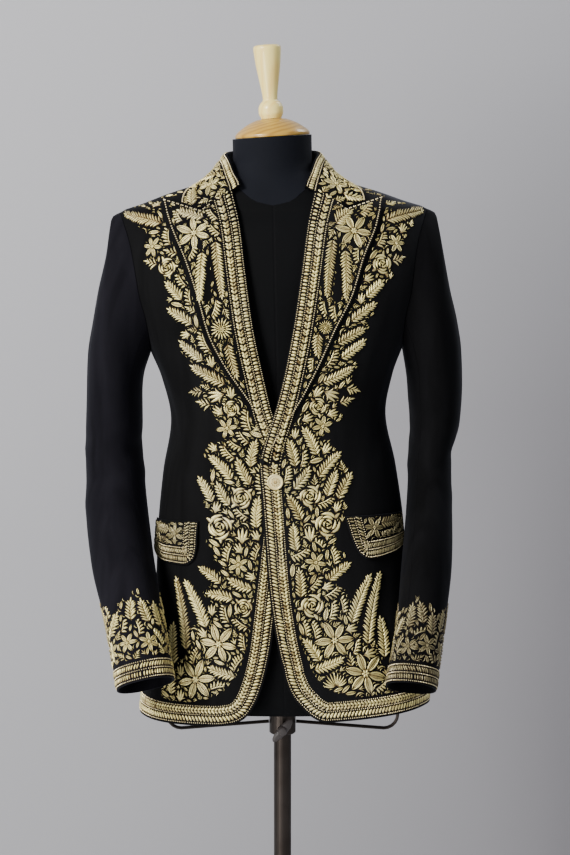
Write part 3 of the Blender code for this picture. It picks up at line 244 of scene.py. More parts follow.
class Side(Enum):
    """The wearer's two sides, as the sign of X."""

    LEFT = 1
    RIGHT = -1

    @property
    def word(self) -> str:
        """The side's name as the nodes spell it."""
        return self.name.lower()

    def pick(self, both: Sequence) -> Any:
        """The first of two values for the left side, the second for the right."""
        return both[0 if self is Side.LEFT else 1]


class Curve:
    """A smooth curve through a table's values that doesn't overshoot between them."""

    def __init__(self, places: Sequence[float], values: Sequence[float]) -> None:
        """Works out the slope at each of the table's places."""
        self.x, self.y = np.asarray(places, float), np.asarray(values, float)
        step = np.diff(self.y) / np.diff(self.x)
        both, total = step[:-1] * step[1:], step[:-1] + step[1:]
        middle = np.where(both > 0, 2 * both / np.where(total == 0, 1, total), 0)
        self.slope = np.concatenate((step[:1], middle, step[-1:]))

    def __call__(self, at: Array) -> Array:
        """The curve's value at each place, held at the table's ends."""
        at = np.clip(np.asarray(at, float), self.x[0], self.x[-1])
        k = np.clip(np.searchsorted(self.x, at, side="right") - 1, 0, len(self.x) - 2)
        width = self.x[k + 1] - self.x[k]
        t = (at - self.x[k]) / width
        return (
            (2 * t**3 - 3 * t**2 + 1) * self.y[k]
            + (t**3 - 2 * t**2 + t) * width * self.slope[k]
            + (3 * t**2 - 2 * t**3) * self.y[k + 1]
            + (t**3 - t**2) * width * self.slope[k + 1]
        )


class Table:
    """Several curves over the same places, one for each column of a table."""

    def __init__(self, rows: Sequence[Sequence[float]]) -> None:
        """Sorts the rows by their first column and makes a curve of each other one."""
        data = np.array(sorted(rows), float)
        self.curves = [Curve(data[:, 0], column) for column in data[:, 1:].T]

    def __call__(self, at: Array) -> list[Array]:
        """Each column's value at these places."""
        return [curve(at) for curve in self.curves]


def ramp(low: float, high: float, value: Array) -> Array:
    """0 up to low and 1 from high on, with a soft start and end."""
    t = np.clip((np.asarray(value, float) - low) / (high - low), 0, 1)
    return t * t * (3 - 2 * t)


def bell(value: Array, spread: float) -> Array:
    """1 at zero, falling away softly over the spread."""
    return np.exp(-((np.asarray(value, float) / spread) ** 2))


def turned(angle: Array) -> Array:
    """The angle between -180 and 180 degrees."""
    return (np.asarray(angle, float) + 180.0) % 360.0 - 180.0


def eased(value: Array, power: Array) -> Array:
    """A sine or cosine squared up towards a box section."""
    return np.sign(value) * np.abs(value) ** (2.0 / power)


def unit(vectors: Array) -> Array:
    """The vectors at length one."""
    return vectors / np.maximum(np.linalg.norm(vectors, axis=-1, keepdims=True), 1e-12)


def stack(x: Array, y: Array, z: Array) -> Array:
    """Points from their three coordinates, which share a shape once broadcast."""
    return np.stack(np.broadcast_arrays(x, y, z), -1)


def folds(table: Sequence[Sequence[float]], across: Array, up: Array, scale: float) -> Array:
    """How far the fine folds near these places stand out.

    Args:
        table: Rows of place, height, lean, half length, half width and depth.
        across: Places in the table's own measure.
        up: Heights.
        scale: Metres in one unit of the table's places.

    Returns:
        The distance out, less than zero in a trough.
    """
    total = np.zeros(np.broadcast(across, up).shape)
    for place, height, lean, length, width, depth in table:
        x, y = (across - place) * scale, up - height
        cosine, sine = math.cos(math.radians(lean)), math.sin(math.radians(lean))
        total = total + depth * bell(x * cosine + y * sine, length) * bell(y * cosine - x * sine, width)
    return total


def bilinear(table: Array, row: Array, column: Array) -> Array:
    """The table's value between its rows and columns."""
    r, c = (
        np.clip(np.floor(at).astype(int), 0, size - 2) for at, size in zip((row, column), table.shape)
    )
    p, q = np.clip(row - r, 0, 1), np.clip(column - c, 0, 1)
    low = table[r, c] * (1 - q) + table[r, c + 1] * q
    high = table[r + 1, c] * (1 - q) + table[r + 1, c + 1] * q
    return low * (1 - p) + high * p


def station_height(station: Array) -> Array:
    """The height of a place round the armhole, 0 at its top."""
    return ARM_MIDDLE + ARM_HALF * np.cos(np.radians(station))


def armhole_reach(height: Array, aft: Array) -> Array:
    """How far round the armhole's edge lies from the side at this height, in degrees."""
    share = np.clip((height - ARM_MIDDLE) / ARM_HALF, -1, 1)
    return np.where(aft, ARM_AFT, ARM_FORE) * np.sqrt(1 - share * share) ** ARM_POWER


def station_angle(station: Array) -> Array:
    """The angle round the coat at which a place of the armhole lies."""
    fore = np.sin(np.radians(station)) > 0
    reach = armhole_reach(station_height(station), ~fore)
    return np.where(fore, 90.0 - reach, 90.0 + reach)


class CoatForm:
    """The coat's outer surface, which all its cloth and stitching follows."""

    def __init__(self) -> None:
        """Makes the curves of the sections and the map between arcs and angles."""
        self.coat, self.form = Table(COAT), Table(FORM)
        self.edges, self.necks = Table(FRONT_EDGES), Table(NECK_EDGES)
        self.lapels, self.laps = Table(LAPEL_EDGES), Table(LAPS)
        self.heights = np.linspace(HEM - 0.014, 1.458, 110)
        self.arc_step = 0.002
        angles = np.linspace(0, 180, 361)
        ring = self.section(self.coat, angles[None, :], self.heights[:, None])
        step = np.linalg.norm(np.diff(ring, axis=1), axis=-1)
        self.arcs = np.concatenate((np.zeros((len(step), 1)), np.cumsum(step, axis=1)), axis=1)
        spans = np.arange(0, 0.64, self.arc_step)
        self.angles = np.array([np.interp(spans, row, angles) for row in self.arcs])

    def row_of(self, height: Array) -> Array:
        """The height as a place among the map's rows."""
        span = self.heights[-1] - self.heights[0]
        return (np.asarray(height) - self.heights[0]) / span * (len(self.heights) - 1)

    def angle_of(self, arc: Array, height: Array) -> Array:
        """The angle that lies this far round from the centre front."""
        place = np.abs(arc) / self.arc_step
        return np.sign(arc) * bilinear(self.angles, self.row_of(height), place)

    def arc_of(self, angle: Array, height: Array) -> Array:
        """How far round from the centre front an angle lies, in metres."""
        return np.sign(angle) * bilinear(self.arcs, self.row_of(height), np.abs(angle) * 2)

    def section(self, table: Table, angle: Array, height: Array) -> Array:
        """A point of a level section, before the form leans."""
        half, front, back, power = table(height)
        cosine, sine = np.cos(np.radians(angle)), np.sin(np.radians(angle))
        depth = np.where(cosine > 0, front, back)
        return stack(half * eased(sine, power), -depth * eased(cosine, power), height)

    def surface(self, angle: Array, height: Array) -> Array:
        """The coat's surface with the skirt's flutes."""
        point = self.section(self.coat, angle, height)
        fade = 1 - ramp(HEM, FLUTE_TOP, height)
        flute = sum(depth * bell(turned(angle - at), spread) for at, spread, depth in FLUTES)
        away = unit(point * np.array((1, 1, 0)))
        return point + away * (fade * flute)[..., None]

    def normal(self, angle: Array, height: Array) -> Array:
        """The way out of the coat."""
        along = self.surface(angle + STEP_ANGLE, height) - self.surface(angle - STEP_ANGLE, height)
        up = self.surface(angle, height + STEP_HEIGHT) - self.surface(angle, height - STEP_HEIGHT)
        return unit(np.cross(along, up))

    def point(self, angle: Array, height: Array, out: Array = 0.0) -> Array:
        """A point this far out of the coat's surface, fine folds included."""
        angle, height = np.broadcast_arrays(np.asarray(angle, float), np.asarray(height, float))
        fade = ramp(HEM, HEM + 0.05, height) * (1 - ramp(1.3, 1.36, height))
        relief = folds(BODY_FOLDS, self.arc_of(turned(angle), height), height, 1.0) * fade
        return self.surface(angle, height) + self.normal(angle, height) * (out + relief)[..., None]

    def angle_at(self, reach: Array, height: Array) -> Array:
        """The angle, in front, whose point lies this far across from the centre."""
        half, _, _, power = self.coat(height)
        share = np.minimum(1.0, np.abs(reach) / half) ** (power / 2)
        return np.sign(reach) * np.degrees(np.arcsin(share))

    def arc_at(self, reach: Array, height: Array) -> Array:
        """How far round the point lies that is this far across from the centre."""
        return self.arc_of(self.angle_at(reach, height), height)

    def seam(self, angle: Array, height: Array) -> Array:
        """Half a seam's gap as an angle."""
        chord = self.surface(angle + STEP_ANGLE, height) - self.surface(angle, height)
        return STEP_ANGLE * GAP / 2 / np.maximum(np.linalg.norm(chord, axis=-1), 1e-5)

    def edge(self, side: Side, height: Array) -> Array:
        """How far a front's free edge or roll lies over towards its own side."""
        return side.pick(self.edges(height))

    def lap(self, side: Side, reach: Array, height: Array) -> Array:
        """How far the lapping front stands off near the centre."""
        if side is Side.RIGHT:
            return np.zeros(np.broadcast(reach, height).shape)
        return self.laps(height)[0] * (1 - ramp(-0.005, LAP_REACH, reach))

    def share(self, point: Array) -> Array:
        """Below 1 inside the coat's surface at this height, above 1 outside."""
        half, front, back, power = self.coat(point[..., 2])
        depth = np.where(point[..., 1] < 0, front, back)
        total = np.abs(point[..., 0] / half) ** power + np.abs(point[..., 1] / depth) ** power
        return total ** (1 / power)

    def clear(self, point: Array, margin: Array) -> Array:
        """The points, moved out until they stand this far off the coat's surface."""
        step = 1e-4
        for _ in range(4):
            share = self.share(point)
            slope = np.stack([(self.share(point + step * axis) - share) / step for axis in np.eye(3)], -1)
            gap = (share - 1) / np.linalg.norm(slope, axis=-1)
            point = point + unit(slope) * np.maximum(margin - gap, 0)[..., None]
        return point


def settle(point: Array) -> Array:
    """Where points of the dressed form stand once the form leans and tilts."""
    share = (point[..., 2] - HEM) / (SHOULDER_TIP - HEM)
    tilt = HEM_TILT + (SHOULDER_TILT - HEM_TILT) * share
    return stack(
        point[..., 0] - LEAN * (point[..., 2] - LEAN_HEIGHT),
        point[..., 1],
        point[..., 2] + tilt * point[..., 0],
    )


coat = CoatForm()


class Chart:
    """A piece of cloth's own coordinates in metres, which stitching is laid on."""

    step = 5e-4
    reach = (-9.0, 9.0)

    def raw(self, across: Array, up: Array, out: Array) -> Array:
        """A point of the cloth before the form leans."""
        raise NotImplementedError

    def place(self, across: Array, up: Array, out: Array = 0.0) -> Array:
        """Where the point stands, this far out of the cloth."""
        return settle(self.raw(across, up, out))

    def frames(self, across: Array, up: Array) -> tuple[Array, Array]:
        """How true lengths on the cloth turn into the chart's coordinates.

        Args:
            across: The places' first coordinates.
            up: The places' second coordinates.

        Returns:
            A matrix for each place, and 1 or -1 for the hand of the chart.
        """
        e = self.step
        up = np.clip(up, self.reach[0] + 2 * e, self.reach[1] - 2 * e)
        da = (self.place(across + e, up) - self.place(across - e, up)) / (2 * e)
        db = (self.place(across, up + e) - self.place(across, up - e)) / (2 * e)
        away = self.place(across, up, 0.001) - self.place(across, up)
        first = unit(da)
        upright = np.cross(da, db)
        second = np.cross(unit(upright), first)
        rows = [np.stack(((da * way).sum(-1), (db * way).sum(-1)), -1) for way in (first, second)]
        hand = np.sign((upright * away).sum(-1))
        return np.linalg.pinv(np.stack(rows, -2), rcond=1e-3), hand


@dataclass
class BodyChart(Chart):
    """The coat's body: the arc from the centre front, and the height."""

    side: Side

    def raw(self, across: Array, up: Array, out: Array) -> Array:
        """A point of the front, side or back."""
        angle = coat.angle_of(across, up)
        reach = coat.section(coat.coat, angle, up)[..., 0]
        return coat.point(self.side.value * angle, up, out + coat.lap(self.side, reach, up))


@dataclass
class LapelChart(Chart):
    """A lapel: the distance from its roll, and the length up from the break."""

    side: Side
    reach = (0.0, LAPEL_LENGTH)

    def width(self, up: Array) -> Array:
        """How wide the lapel lies at this length up from the break."""
        t = np.clip(np.asarray(up) / LAPEL_LENGTH, 0, 1)
        roll = coat.edge(self.side, BREAK + (ROLL_TOP - BREAK) * t)
        edge = self.side.pick(coat.lapels((BREAK - 0.003) + (PEAK - BREAK + 0.003) * t))
        return np.maximum(edge - roll - ROLL_RADIUS, 1e-4)

    @staticmethod
    def lift(s: Array, t: Array) -> Array:
        """How much further the top reaches up to the collar's end, most at the roll."""
        return GORGE_LIFT * ramp(0.88, 1.0, t) * np.clip(1 - np.asarray(s) / NOTCH_SHARE, 0, 1)

    def flat(self, s: Array, t: Array, depth: Array) -> Array:
        """A point of the part that lies on the front, s from the roll to the edge."""
        roll_height = BREAK + (ROLL_TOP - BREAK) * t + self.lift(s, t)
        edge_height = (BREAK - 0.003) + (PEAK - BREAK + 0.003) * t
        roll = coat.edge(self.side, roll_height)
        edge = self.side.pick(coat.lapels(edge_height))
        reach = roll + ROLL_RADIUS + (edge - roll - ROLL_RADIUS) * s
        tent = np.where(s < NOTCH_SHARE, s / NOTCH_SHARE, (1 - s) / (1 - NOTCH_SHARE))
        height = roll_height + (edge_height - roll_height) * s - NOTCH_DIP * tent * t**9
        bulge = ROLL_BULGE * ramp(0.0, 0.4, t) * np.sin(np.pi * np.minimum(1.0, s * 1.6)) * (1 - s)
        out = LAPEL_OUT + bulge + LAPEL_RISE * ramp(0.0, 0.3, s) * ramp(0.5, 0.9, t) - depth
        out = out + coat.lap(self.side, reach, height)
        return coat.point(self.side.value * coat.angle_at(reach, height), height, out)

    def rolled(self, bend: Array, t: Array, depth: Array) -> Array:
        """A point of the part that turns round the roll, bend from 0 to pi."""
        height = BREAK + (ROLL_TOP - BREAK) * t + self.lift(0.0, t)
        radius = ROLL_RADIUS - depth
        reach = coat.edge(self.side, height) + ROLL_RADIUS - radius * np.sin(bend)
        out = ROLL_RADIUS - radius * np.cos(bend) - CLOTH + coat.lap(self.side, reach, height)
        return coat.point(self.side.value * coat.angle_at(reach, height), height, out)

    def raw(self, across: Array, up: Array, out: Array) -> Array:
        """A point of the lapel's face."""
        t = np.clip(np.asarray(up) / LAPEL_LENGTH, 0, 1)
        return self.flat(across / self.width(up), t, -np.asarray(out))

    def face(self, u: Array, t: Array, depth: Array) -> Array:
        """A point of the lapel, u from -1 round the roll to 0, and on to 1 at the edge."""
        rolled = self.rolled(np.pi * (1 + np.minimum(u, 0)), t, depth)
        return np.where((u < 0)[..., None], rolled, self.flat(np.maximum(u, 0), t, depth))


class CollarChart(Chart):
    """The collar's fall: the distance down from the fold, and along from the nape."""

    reach = (-COLLAR_LENGTH, COLLAR_LENGTH)

    def __init__(self) -> None:
        """Makes the curves of the collar's rows."""
        self.rows = Table([(k, *row) for k, row in enumerate(COLLAR)])

    def parts(self, t: Array) -> tuple[Array, Array, Array, list[Array]]:
        """The fold's crest, seam and outer edge on the left side, and the row."""
        row = self.rows((1 - np.abs(t)) * (len(COLLAR) - 1))
        crest = stack(row[0], row[1], row[2])
        seam = coat.point(row[3], row[4], -CLOTH / 2)
        edge = coat.point(row[5], row[6], COLLAR_CLEAR + CLOTH)
        return crest, seam, edge, row

    def bent(self, i: Array, t: Array, depth: Array) -> Array:
        """A point of the collar.

        Args:
            i: From 0 at the seam, over the fold between 1 and 4, to 9 at the edge.
            t: From -1 at the right end over the nape to 1 at the left.
            depth: How deep in the cloth the point lies.

        Returns:
            The points, before the form leans.
        """
        i, t, depth = np.broadcast_arrays(i, t, np.asarray(depth, float))
        crest, seam, edge, row = self.parts(t)
        fall = unit(edge - crest)
        before = self.parts(np.minimum(1.0, np.abs(t) + 0.02))[0]
        after = self.parts(np.maximum(0.0, np.abs(t) - 0.02))[0]
        mirrored = before * np.array((-1, 1, 1))
        after = np.where((np.abs(t) > 0.02)[..., None], after, mirrored)
        out = unit(np.cross(fall, unit(after - before)))
        away = (out * crest * np.array((1, 1, 0))).sum(-1, keepdims=True)
        out = np.where(away < 0, -out, out)
        heart = crest + fall * ROLL_RADIUS
        radius = (ROLL_RADIUS - depth)[..., None]
        inner, outer = heart - out * radius, heart + out * radius
        lean = unit(seam - inner)
        foot = seam - lean * (COLLAR_SEAM + GAP) + out * (depth - CLOTH / 2)[..., None]
        stand = foot + (inner - foot) * np.clip(i, 0, 1)[..., None]
        bend = (np.pi * np.clip((i - 1) / 3, 0, 1))[..., None]
        fold = heart - out * radius * np.cos(bend) - fall * radius * np.sin(bend)
        s = np.clip((i - 4) / 5, 0, 1.02)[..., None]
        edge = edge - coat.normal(row[5], row[6]) * depth[..., None]
        knee = outer + fall * ((edge - outer) * fall).sum(-1, keepdims=True) * 0.55
        flat = outer * (1 - s) ** 2 + knee * 2 * s * (1 - s) + edge * s * s
        s = s[..., 0]
        tent = np.where(s < COLLAR_NOTCH, s / COLLAR_NOTCH, (1 - s) / (1 - COLLAR_NOTCH))
        flat = flat - stack(0 * s, 0 * s, row[7] * tent)
        flat = coat.clear(flat, COLLAR_CLEAR + CLOTH - depth)
        point = np.where((i <= 1)[..., None], stand, np.where((i <= 4)[..., None], fold, flat))
        move = [np.interp(s, COLLAR_END[0], way) for way in COLLAR_END[1:]]
        move[2] = move[2] - np.where(t > 0, 0.003, 0.0) * np.clip(1 - 4 * s, 0, 1)
        near = ramp(0.8, 1.0, np.abs(t)) * np.clip(i, 0, 1)
        point = point + stack(*move) * near[..., None]
        return point * stack(np.where(t < 0, -1.0, 1.0), 1.0, 1.0)

    def fall_width(self, t: Array) -> Array:
        """How far the collar falls from its fold to its edge."""
        crest, _, edge, _ = self.parts(t)
        return np.linalg.norm(edge - crest, axis=-1) * 1.06

    def raw(self, across: Array, up: Array, out: Array) -> Array:
        """A point of the fall."""
        t = np.clip(np.asarray(up) / COLLAR_LENGTH, -1, 1)
        return self.bent(4 + 5 * across / self.fall_width(t), t, -np.asarray(out))


@dataclass
class FlapChart(Chart):
    """A pocket flap: the distance back from its fore end, and up from its bottom."""

    side: Side

    def flap(self, s: Array, t: Array, depth: Array) -> Array:
        """A point at these shares of the flap."""
        start, end = self.side.pick(flap_fores(t)), self.side.pick(FLAP_AFTS)
        ends = flap_ends(s)
        bottom, top = self.side.pick(ends[:2]), self.side.pick(ends[2:])
        lift = FLAP_LIFT * np.sin(np.pi * np.clip(1.25 * (1 - t), 0, 1)) * (1 - ramp(0.5, 1.0, s))
        out = FLAP_OUT + FLAP_SLACK * (1 - ramp(0.5, 1.0, t)) + lift - depth
        return coat.point(self.side.value * (start + (end - start) * s), bottom + (top - bottom) * t, out)

    def raw(self, across: Array, up: Array, out: Array) -> Array:
        """A point of the flap's face."""
        return self.flap(across / FLAP_LENGTH, up / FLAP_HEIGHT, -np.asarray(out))


flap_fores, flap_ends = Table(FLAP_FORES), Table(FLAP_ENDS)


class SleeveChart(Chart):
    """A sleeve: the distance round from its outer line to the front, and up from the cuff."""

    radius = 0.047
    reach = (0.0, 9.0)

    def __init__(self, side: Side) -> None:
        """Makes the curves of this side's rounds."""
        self.side = side
        rows = side.pick((LEFT_SLEEVE, RIGHT_SLEEVE))
        self.rounds, self.cuff = Table(rows), rows[-1][0]
        self.creases = side.pick((LEFT_CREASES, RIGHT_CREASES))

    def tube(self, angle: Array, height: Array) -> Array:
        """A point of the sleeve's own tube, angle 0 outward and 90 to the front."""
        outer, inner, fore, aft, pitch, sway = self.rounds(height)
        x = (outer - inner) / 2 * eased(np.cos(np.radians(angle)), SLEEVE_POWER)
        y = -(aft - fore) / 2 * eased(np.sin(np.radians(angle)), SLEEVE_POWER)
        return stack((outer + inner) / 2 + x, (aft + fore) / 2 + y, height - pitch * y - sway * x)

    def start(self, angle: Array) -> Array:
        """The armhole's edge where this angle meets it."""
        edge = coat.surface(station_angle(angle), station_height(angle))
        return edge + np.array((ARM_GAP, 0, 0))

    def surface(self, angle: Array, t: Array) -> Array:
        """The sleeve's outer point, t from the armhole to the cuff."""
        angle, t = np.broadcast_arrays(np.asarray(angle, float), np.asarray(t, float))
        start = self.start(angle)
        height = start[..., 2] + (self.cuff - start[..., 2]) * t
        point = self.tube(angle, height)
        blend = HEAD_BLEND + (SLEEVE_BLEND - HEAD_BLEND) * ramp(8.0, 75.0, np.abs(turned(angle)))
        fade = np.maximum(0, 1 - (start[..., 2] - height) / blend) ** 2
        point = point + (start - self.tube(angle, start[..., 2])) * fade[..., None]
        outer, inner, fore, aft, _, _ = self.rounds(height)
        inward = unit(stack((outer + inner) / 2, (fore + aft) / 2, height) - point)
        depth = sum(
            deep * bell(turned(angle - at), spread) * bell(height - level, length)
            for level, at, length, spread, deep in self.creases
        )
        return point + inward * depth[..., None]

    def sleeve(self, angle: Array, t: Array, depth: Array) -> Array:
        """A point this deep in the sleeve's cloth, fine folds included."""
        around = self.surface(angle + 2, t) - self.surface(angle - 2, t)
        down = self.surface(angle, np.minimum(1, t + 0.003)) - self.surface(angle, np.maximum(0, t - 0.003))
        point = self.surface(angle, t)
        fade = ramp(0.0, 0.06, t) * (1 - ramp(0.86, 0.97, t))
        place = turned(np.asarray(angle) - 68.0) + 68.0
        relief = folds(SLEEVE_FOLDS, place, point[..., 2], math.radians(1) * self.radius) * fade
        point = point + unit(np.cross(around, down)) * (relief - depth)[..., None]
        return point * np.array((self.side.value, 1, 1))

    def raw(self, across: Array, up: Array, out: Array) -> Array:
        """A point of the sleeve by its distance round and up."""
        angle = np.degrees(np.asarray(across) / self.radius)
        length = self.start(angle)[..., 2] - self.cuff
        return self.sleeve(angle, 1 - up / length, -np.asarray(out))


@dataclass
class DiscChart(Chart):
    """A button's face: two coordinates across it."""

    centre: Vector
    upward: Vector
    dome: float
    radius: float

    def place(self, across: Array, up: Array, out: Array = 0.0) -> Array:
        """Where a point of the face stands."""
        turn = Vector((0, 0, 1)).rotation_difference(self.upward).to_matrix()
        high = self.dome * (1 - (across**2 + up**2) / self.radius**2) + out
        return stack(across, up, high) @ np.array(turn).T + np.array(self.centre)


class Wire:
    """A shader socket that takes Python's operators."""

    def __init__(self, paint: "Paint", socket: bpy.types.NodeSocket) -> None:
        """Keeps the socket with the paint that it belongs to."""
        self.paint, self.socket = paint, socket

    def _math(self, operation: str, first: object, second: object) -> "Wire":
        """One Math node on two values or wires."""
        return self.paint.add("ShaderNodeMath", {"operation": operation}, {0: first, 1: second})

    def __add__(self, other: object) -> "Wire":
        """The sum."""
        return self._math("ADD", self, other)

    def __sub__(self, other: object) -> "Wire":
        """The difference."""
        return self._math("SUBTRACT", self, other)

    def __rsub__(self, other: object) -> "Wire":
        """The difference the other way round."""
        return self._math("SUBTRACT", other, self)

    def __mul__(self, other: object) -> "Wire":
        """The product."""
        return self._math("MULTIPLY", self, other)

    def __pow__(self, other: object) -> "Wire":
        """The power."""
        return self._math("POWER", self, other)

    __radd__ = __add__
    __rmul__ = __mul__

    def sine(self) -> "Wire":
        """The sine of the value."""
        return self._math("SINE", self, 0.0)

    def magnitude(self) -> "Wire":
        """The value without its sign."""
        return self._math("ABSOLUTE", self, 0.0)

    def between(self, low: float, high: float) -> "Wire":
        """The value as a share of the way from low to high, held to 0 and 1."""
        return self.paint.add("ShaderNodeMapRange", {}, {"Value": self, "From Min": low, "From Max": high})


class Paint:
    """A material's nodes, made one at a time."""

    def __init__(self, name: str) -> None:
        """Starts an empty node tree."""
        self.material = bpy.data.materials.new(name)
        self.material.use_nodes = True
        self.tree = self.material.node_tree
        self.tree.nodes.clear()

    def add(self, kind: str, settings: dict, sockets: dict, output: int | str = 0) -> Wire:
        """Makes a node.

        Args:
            kind: The node's type.
            settings: Its properties, which are set first.
            sockets: Values or wires for its inputs, by name or number.
            output: The output that is returned.

        Returns:
            The wire from that output.
        """
        node = self.tree.nodes.new(kind)
        for key, value in settings.items():
            setattr(node, key, value)
        for key, value in sockets.items():
            if isinstance(value, Wire):
                self.tree.links.new(value.socket, node.inputs[key])
            else:
                node.inputs[key].default_value = value
        return Wire(self, node.outputs[output] if node.outputs else None)

    def spot(self, scale: Sequence[float] = (1, 1, 1), turn: Sequence[float] = (0, 0, 0),
             centre: Sequence[float] = (0, 0, 0)) -> Wire:
        """Object coordinates, centred, turned and stretched by a Mapping node."""
        where = self.add("ShaderNodeTexCoord", {}, {}, "Object")
        moved = self.add("ShaderNodeMapping", {"vector_type": "TEXTURE"},
                         {"Vector": where, "Location": centre, "Rotation": turn})
        return self.add("ShaderNodeMapping", {}, {"Vector": moved, "Scale": scale})

    def noise(self, vector: Wire, scale: float, detail: float = 3.0, distortion: float = 0.0) -> Wire:
        """A noise texture's value."""
        return self.add("ShaderNodeTexNoise", {},
                        {"Vector": vector, "Scale": scale, "Detail": detail, "Distortion": distortion})

    def mix(self, factor: Wire | float, first: object, second: object) -> Wire:
        """A blend of two colours."""
        return self.add("ShaderNodeMix", {"data_type": "RGBA"}, {0: factor, 6: first, 7: second}, 2)

    def bump(self, height: Wire, strength: float, distance: float) -> Wire:
        """A normal from a height."""
        return self.add("ShaderNodeBump", {},
                        {"Height": height, "Strength": strength, "Distance": distance})

    def surface(self, sockets: dict) -> Material:
        """Ends the material in a Principled shader with these inputs."""
        shader = self.add("ShaderNodeBsdfPrincipled", {}, sockets)
        self.add("ShaderNodeOutputMaterial", {}, {"Surface": shader})
        return self.material

    def part(self, vector: Wire, axis: int) -> Wire:
        """One coordinate of a vector."""
        return self.add("ShaderNodeSeparateXYZ", {}, {"Vector": vector}, axis)


def rgb(red: float, green: float, blue: float) -> tuple[float, float, float, float]:
    """A colour with full alpha."""
    return (red, green, blue, 1.0)


@dataclass(frozen=True)
class VelvetFinish:
    """Black cotton velvet: a deep pile with soft streaks where the nap lies over."""

    name: str
    dark: tuple
    light: tuple
    sheen: float
    shine: float

    def material(self) -> Material:
        """The velvet's nodes."""
        paint = Paint(self.name)
        streak = paint.noise(paint.spot((34, 34, 3.2)), 1.0, 4.0, 0.6)
        cloud = paint.noise(paint.spot(), 7.0, 3.0)
        pile = paint.noise(paint.spot(), 900.0, 2.0)
        share = (streak.between(0.36, 0.74) * 0.62) + (cloud.between(0.35, 0.7) * 0.25) + (pile * 0.16)
        return paint.surface({
            "Base Color": paint.mix(share, self.dark, self.light), "Roughness": 0.92 - streak * 0.12,
            "Specular IOR Level": self.shine,
            "Sheen Weight": self.sheen, "Sheen Roughness": 0.38, "Sheen Tint": rgb(0.62, 0.66, 0.82),
            "Normal": paint.bump((pile * 0.7) + (streak * 0.6), 0.28, 0.0008),
        })


@dataclass(frozen=True)
class ThreadFinish:
    """Metal thread laid in satin stitch: fine ridges across each leaf with painted shade between them, and a
    worn tone with the leaves' painted light and shade.
    """

    name: str
    pale: tuple = rgb(1.0, 0.88, 0.37)
    antique: tuple = rgb(0.15, 0.092, 0.026)
    copper: tuple = rgb(0.52, 0.33, 0.13)
    silver: tuple = rgb(0.78, 0.72, 0.46)
    metallic: float = 0.4

    def material(self) -> Material:
        """The thread's nodes, on the stitches' own map and their tone with painted light and shade."""
        paint = Paint(self.name)
        stitch = paint.add("ShaderNodeUVMap", {"uv_map": "stitch"}, {})
        tint = paint.add("ShaderNodeAttribute", {"attribute_name": "tint"}, {}, "Fac")
        ridges = (paint.part(stitch, 0) * 4200.0 + paint.part(stitch, 1) * 1300.0).sine()
        worn = paint.noise(paint.spot(), 160.0, 3.0)
        patch = paint.noise(paint.spot(), 14.0, 2.0)
        warm = paint.mix((tint * 0.95) + (worn * 0.24) - 0.1, self.antique, self.pale)
        toned = paint.mix(patch.between(0.5, 0.74) * 0.34, warm, self.silver)
        toned = paint.mix(worn.between(0.52, 0.8) * 0.36, toned, self.copper)
        # Painted shade: the colour darkens towards near black between the thread's ridges.
        dark = paint.mix(0.75, toned, rgb(0.03, 0.018, 0.008))
        return paint.surface({
            "Base Color": paint.mix((ridges * 0.5 + 0.5) * 0.42 + 0.62, dark, toned),
            "Metallic": self.metallic, "Roughness": 0.17 + worn * 0.2, "Specular IOR Level": 0.6,
            "Normal": paint.bump(ridges * 0.5 + worn, 0.45, 0.0004),
        })


@dataclass(frozen=True)
class JerseyFinish:
    """Stretch jersey on the form, with a seam down the centre front."""

    name: str
    dark: tuple
    light: tuple
    seamed: bool

    def material(self) -> Material:
        """The jersey's nodes: fine ribs, soft clouds and the seam's line."""
        paint = Paint(self.name)
        x, z = paint.part(paint.spot(), 0), paint.part(paint.spot(), 2)
        ribs = (x * 5200.0).sine() * (z * 4100.0).sine()
        cloud = paint.noise(paint.spot(), 9.0, 3.0)
        fuzz = paint.noise(paint.spot(), 700.0, 2.0)
        colour = paint.mix(cloud.between(0.3, 0.75) * 0.7 + fuzz * 0.3, self.dark, self.light)
        height = ribs * 0.35 + fuzz
        if self.seamed:
            line = (x + (z - LEAN_HEIGHT) * LEAN).magnitude().between(0.0022, 0.0004)
            colour = paint.mix(line * 0.75, colour, rgb(0.001, 0.001, 0.0015))
            height = height - line * 2.2
        return paint.surface({
            "Base Color": colour, "Roughness": 0.82 - cloud * 0.1, "Specular IOR Level": 0.1,
            "Sheen Weight": 0.028, "Sheen Roughness": 0.5, "Sheen Tint": rgb(0.7, 0.72, 0.85),
            "Normal": paint.bump(height, 0.25, 0.0006),
        })


@dataclass(frozen=True)
class WoodFinish:
    """Turned and varnished wood, with growth rings that the turning cuts across."""

    name: str
    early: tuple
    late: tuple
    rings: float
    centre: tuple

    def material(self) -> Material:
        """The wood's nodes: rings round an axis off the piece's own, and pores."""
        paint = Paint(self.name)
        spot = paint.spot((1, 1, 0.16), (0.12, 0.2, 0.0), self.centre)
        x, y = paint.part(spot, 0), paint.part(spot, 1)
        far = (x * x + y * y) ** 0.5 + paint.noise(spot, 22.0, 3.0) * 0.006
        grain = (far * self.rings).sine() * 0.5 + 0.5
        pores = paint.noise(paint.spot((1, 1, 0.08), (0.12, 0.2, 0.0)), 620.0, 3.0)
        return paint.surface({
            "Base Color": paint.mix(grain ** 2.2 * 0.72 + pores * 0.24, self.early, self.late),
            "Roughness": 0.3 + pores * 0.16, "Coat Weight": 0.35, "Coat Roughness": 0.16,
            "Normal": paint.bump(grain * 0.4 + pores, 0.1, 0.0004),
        })


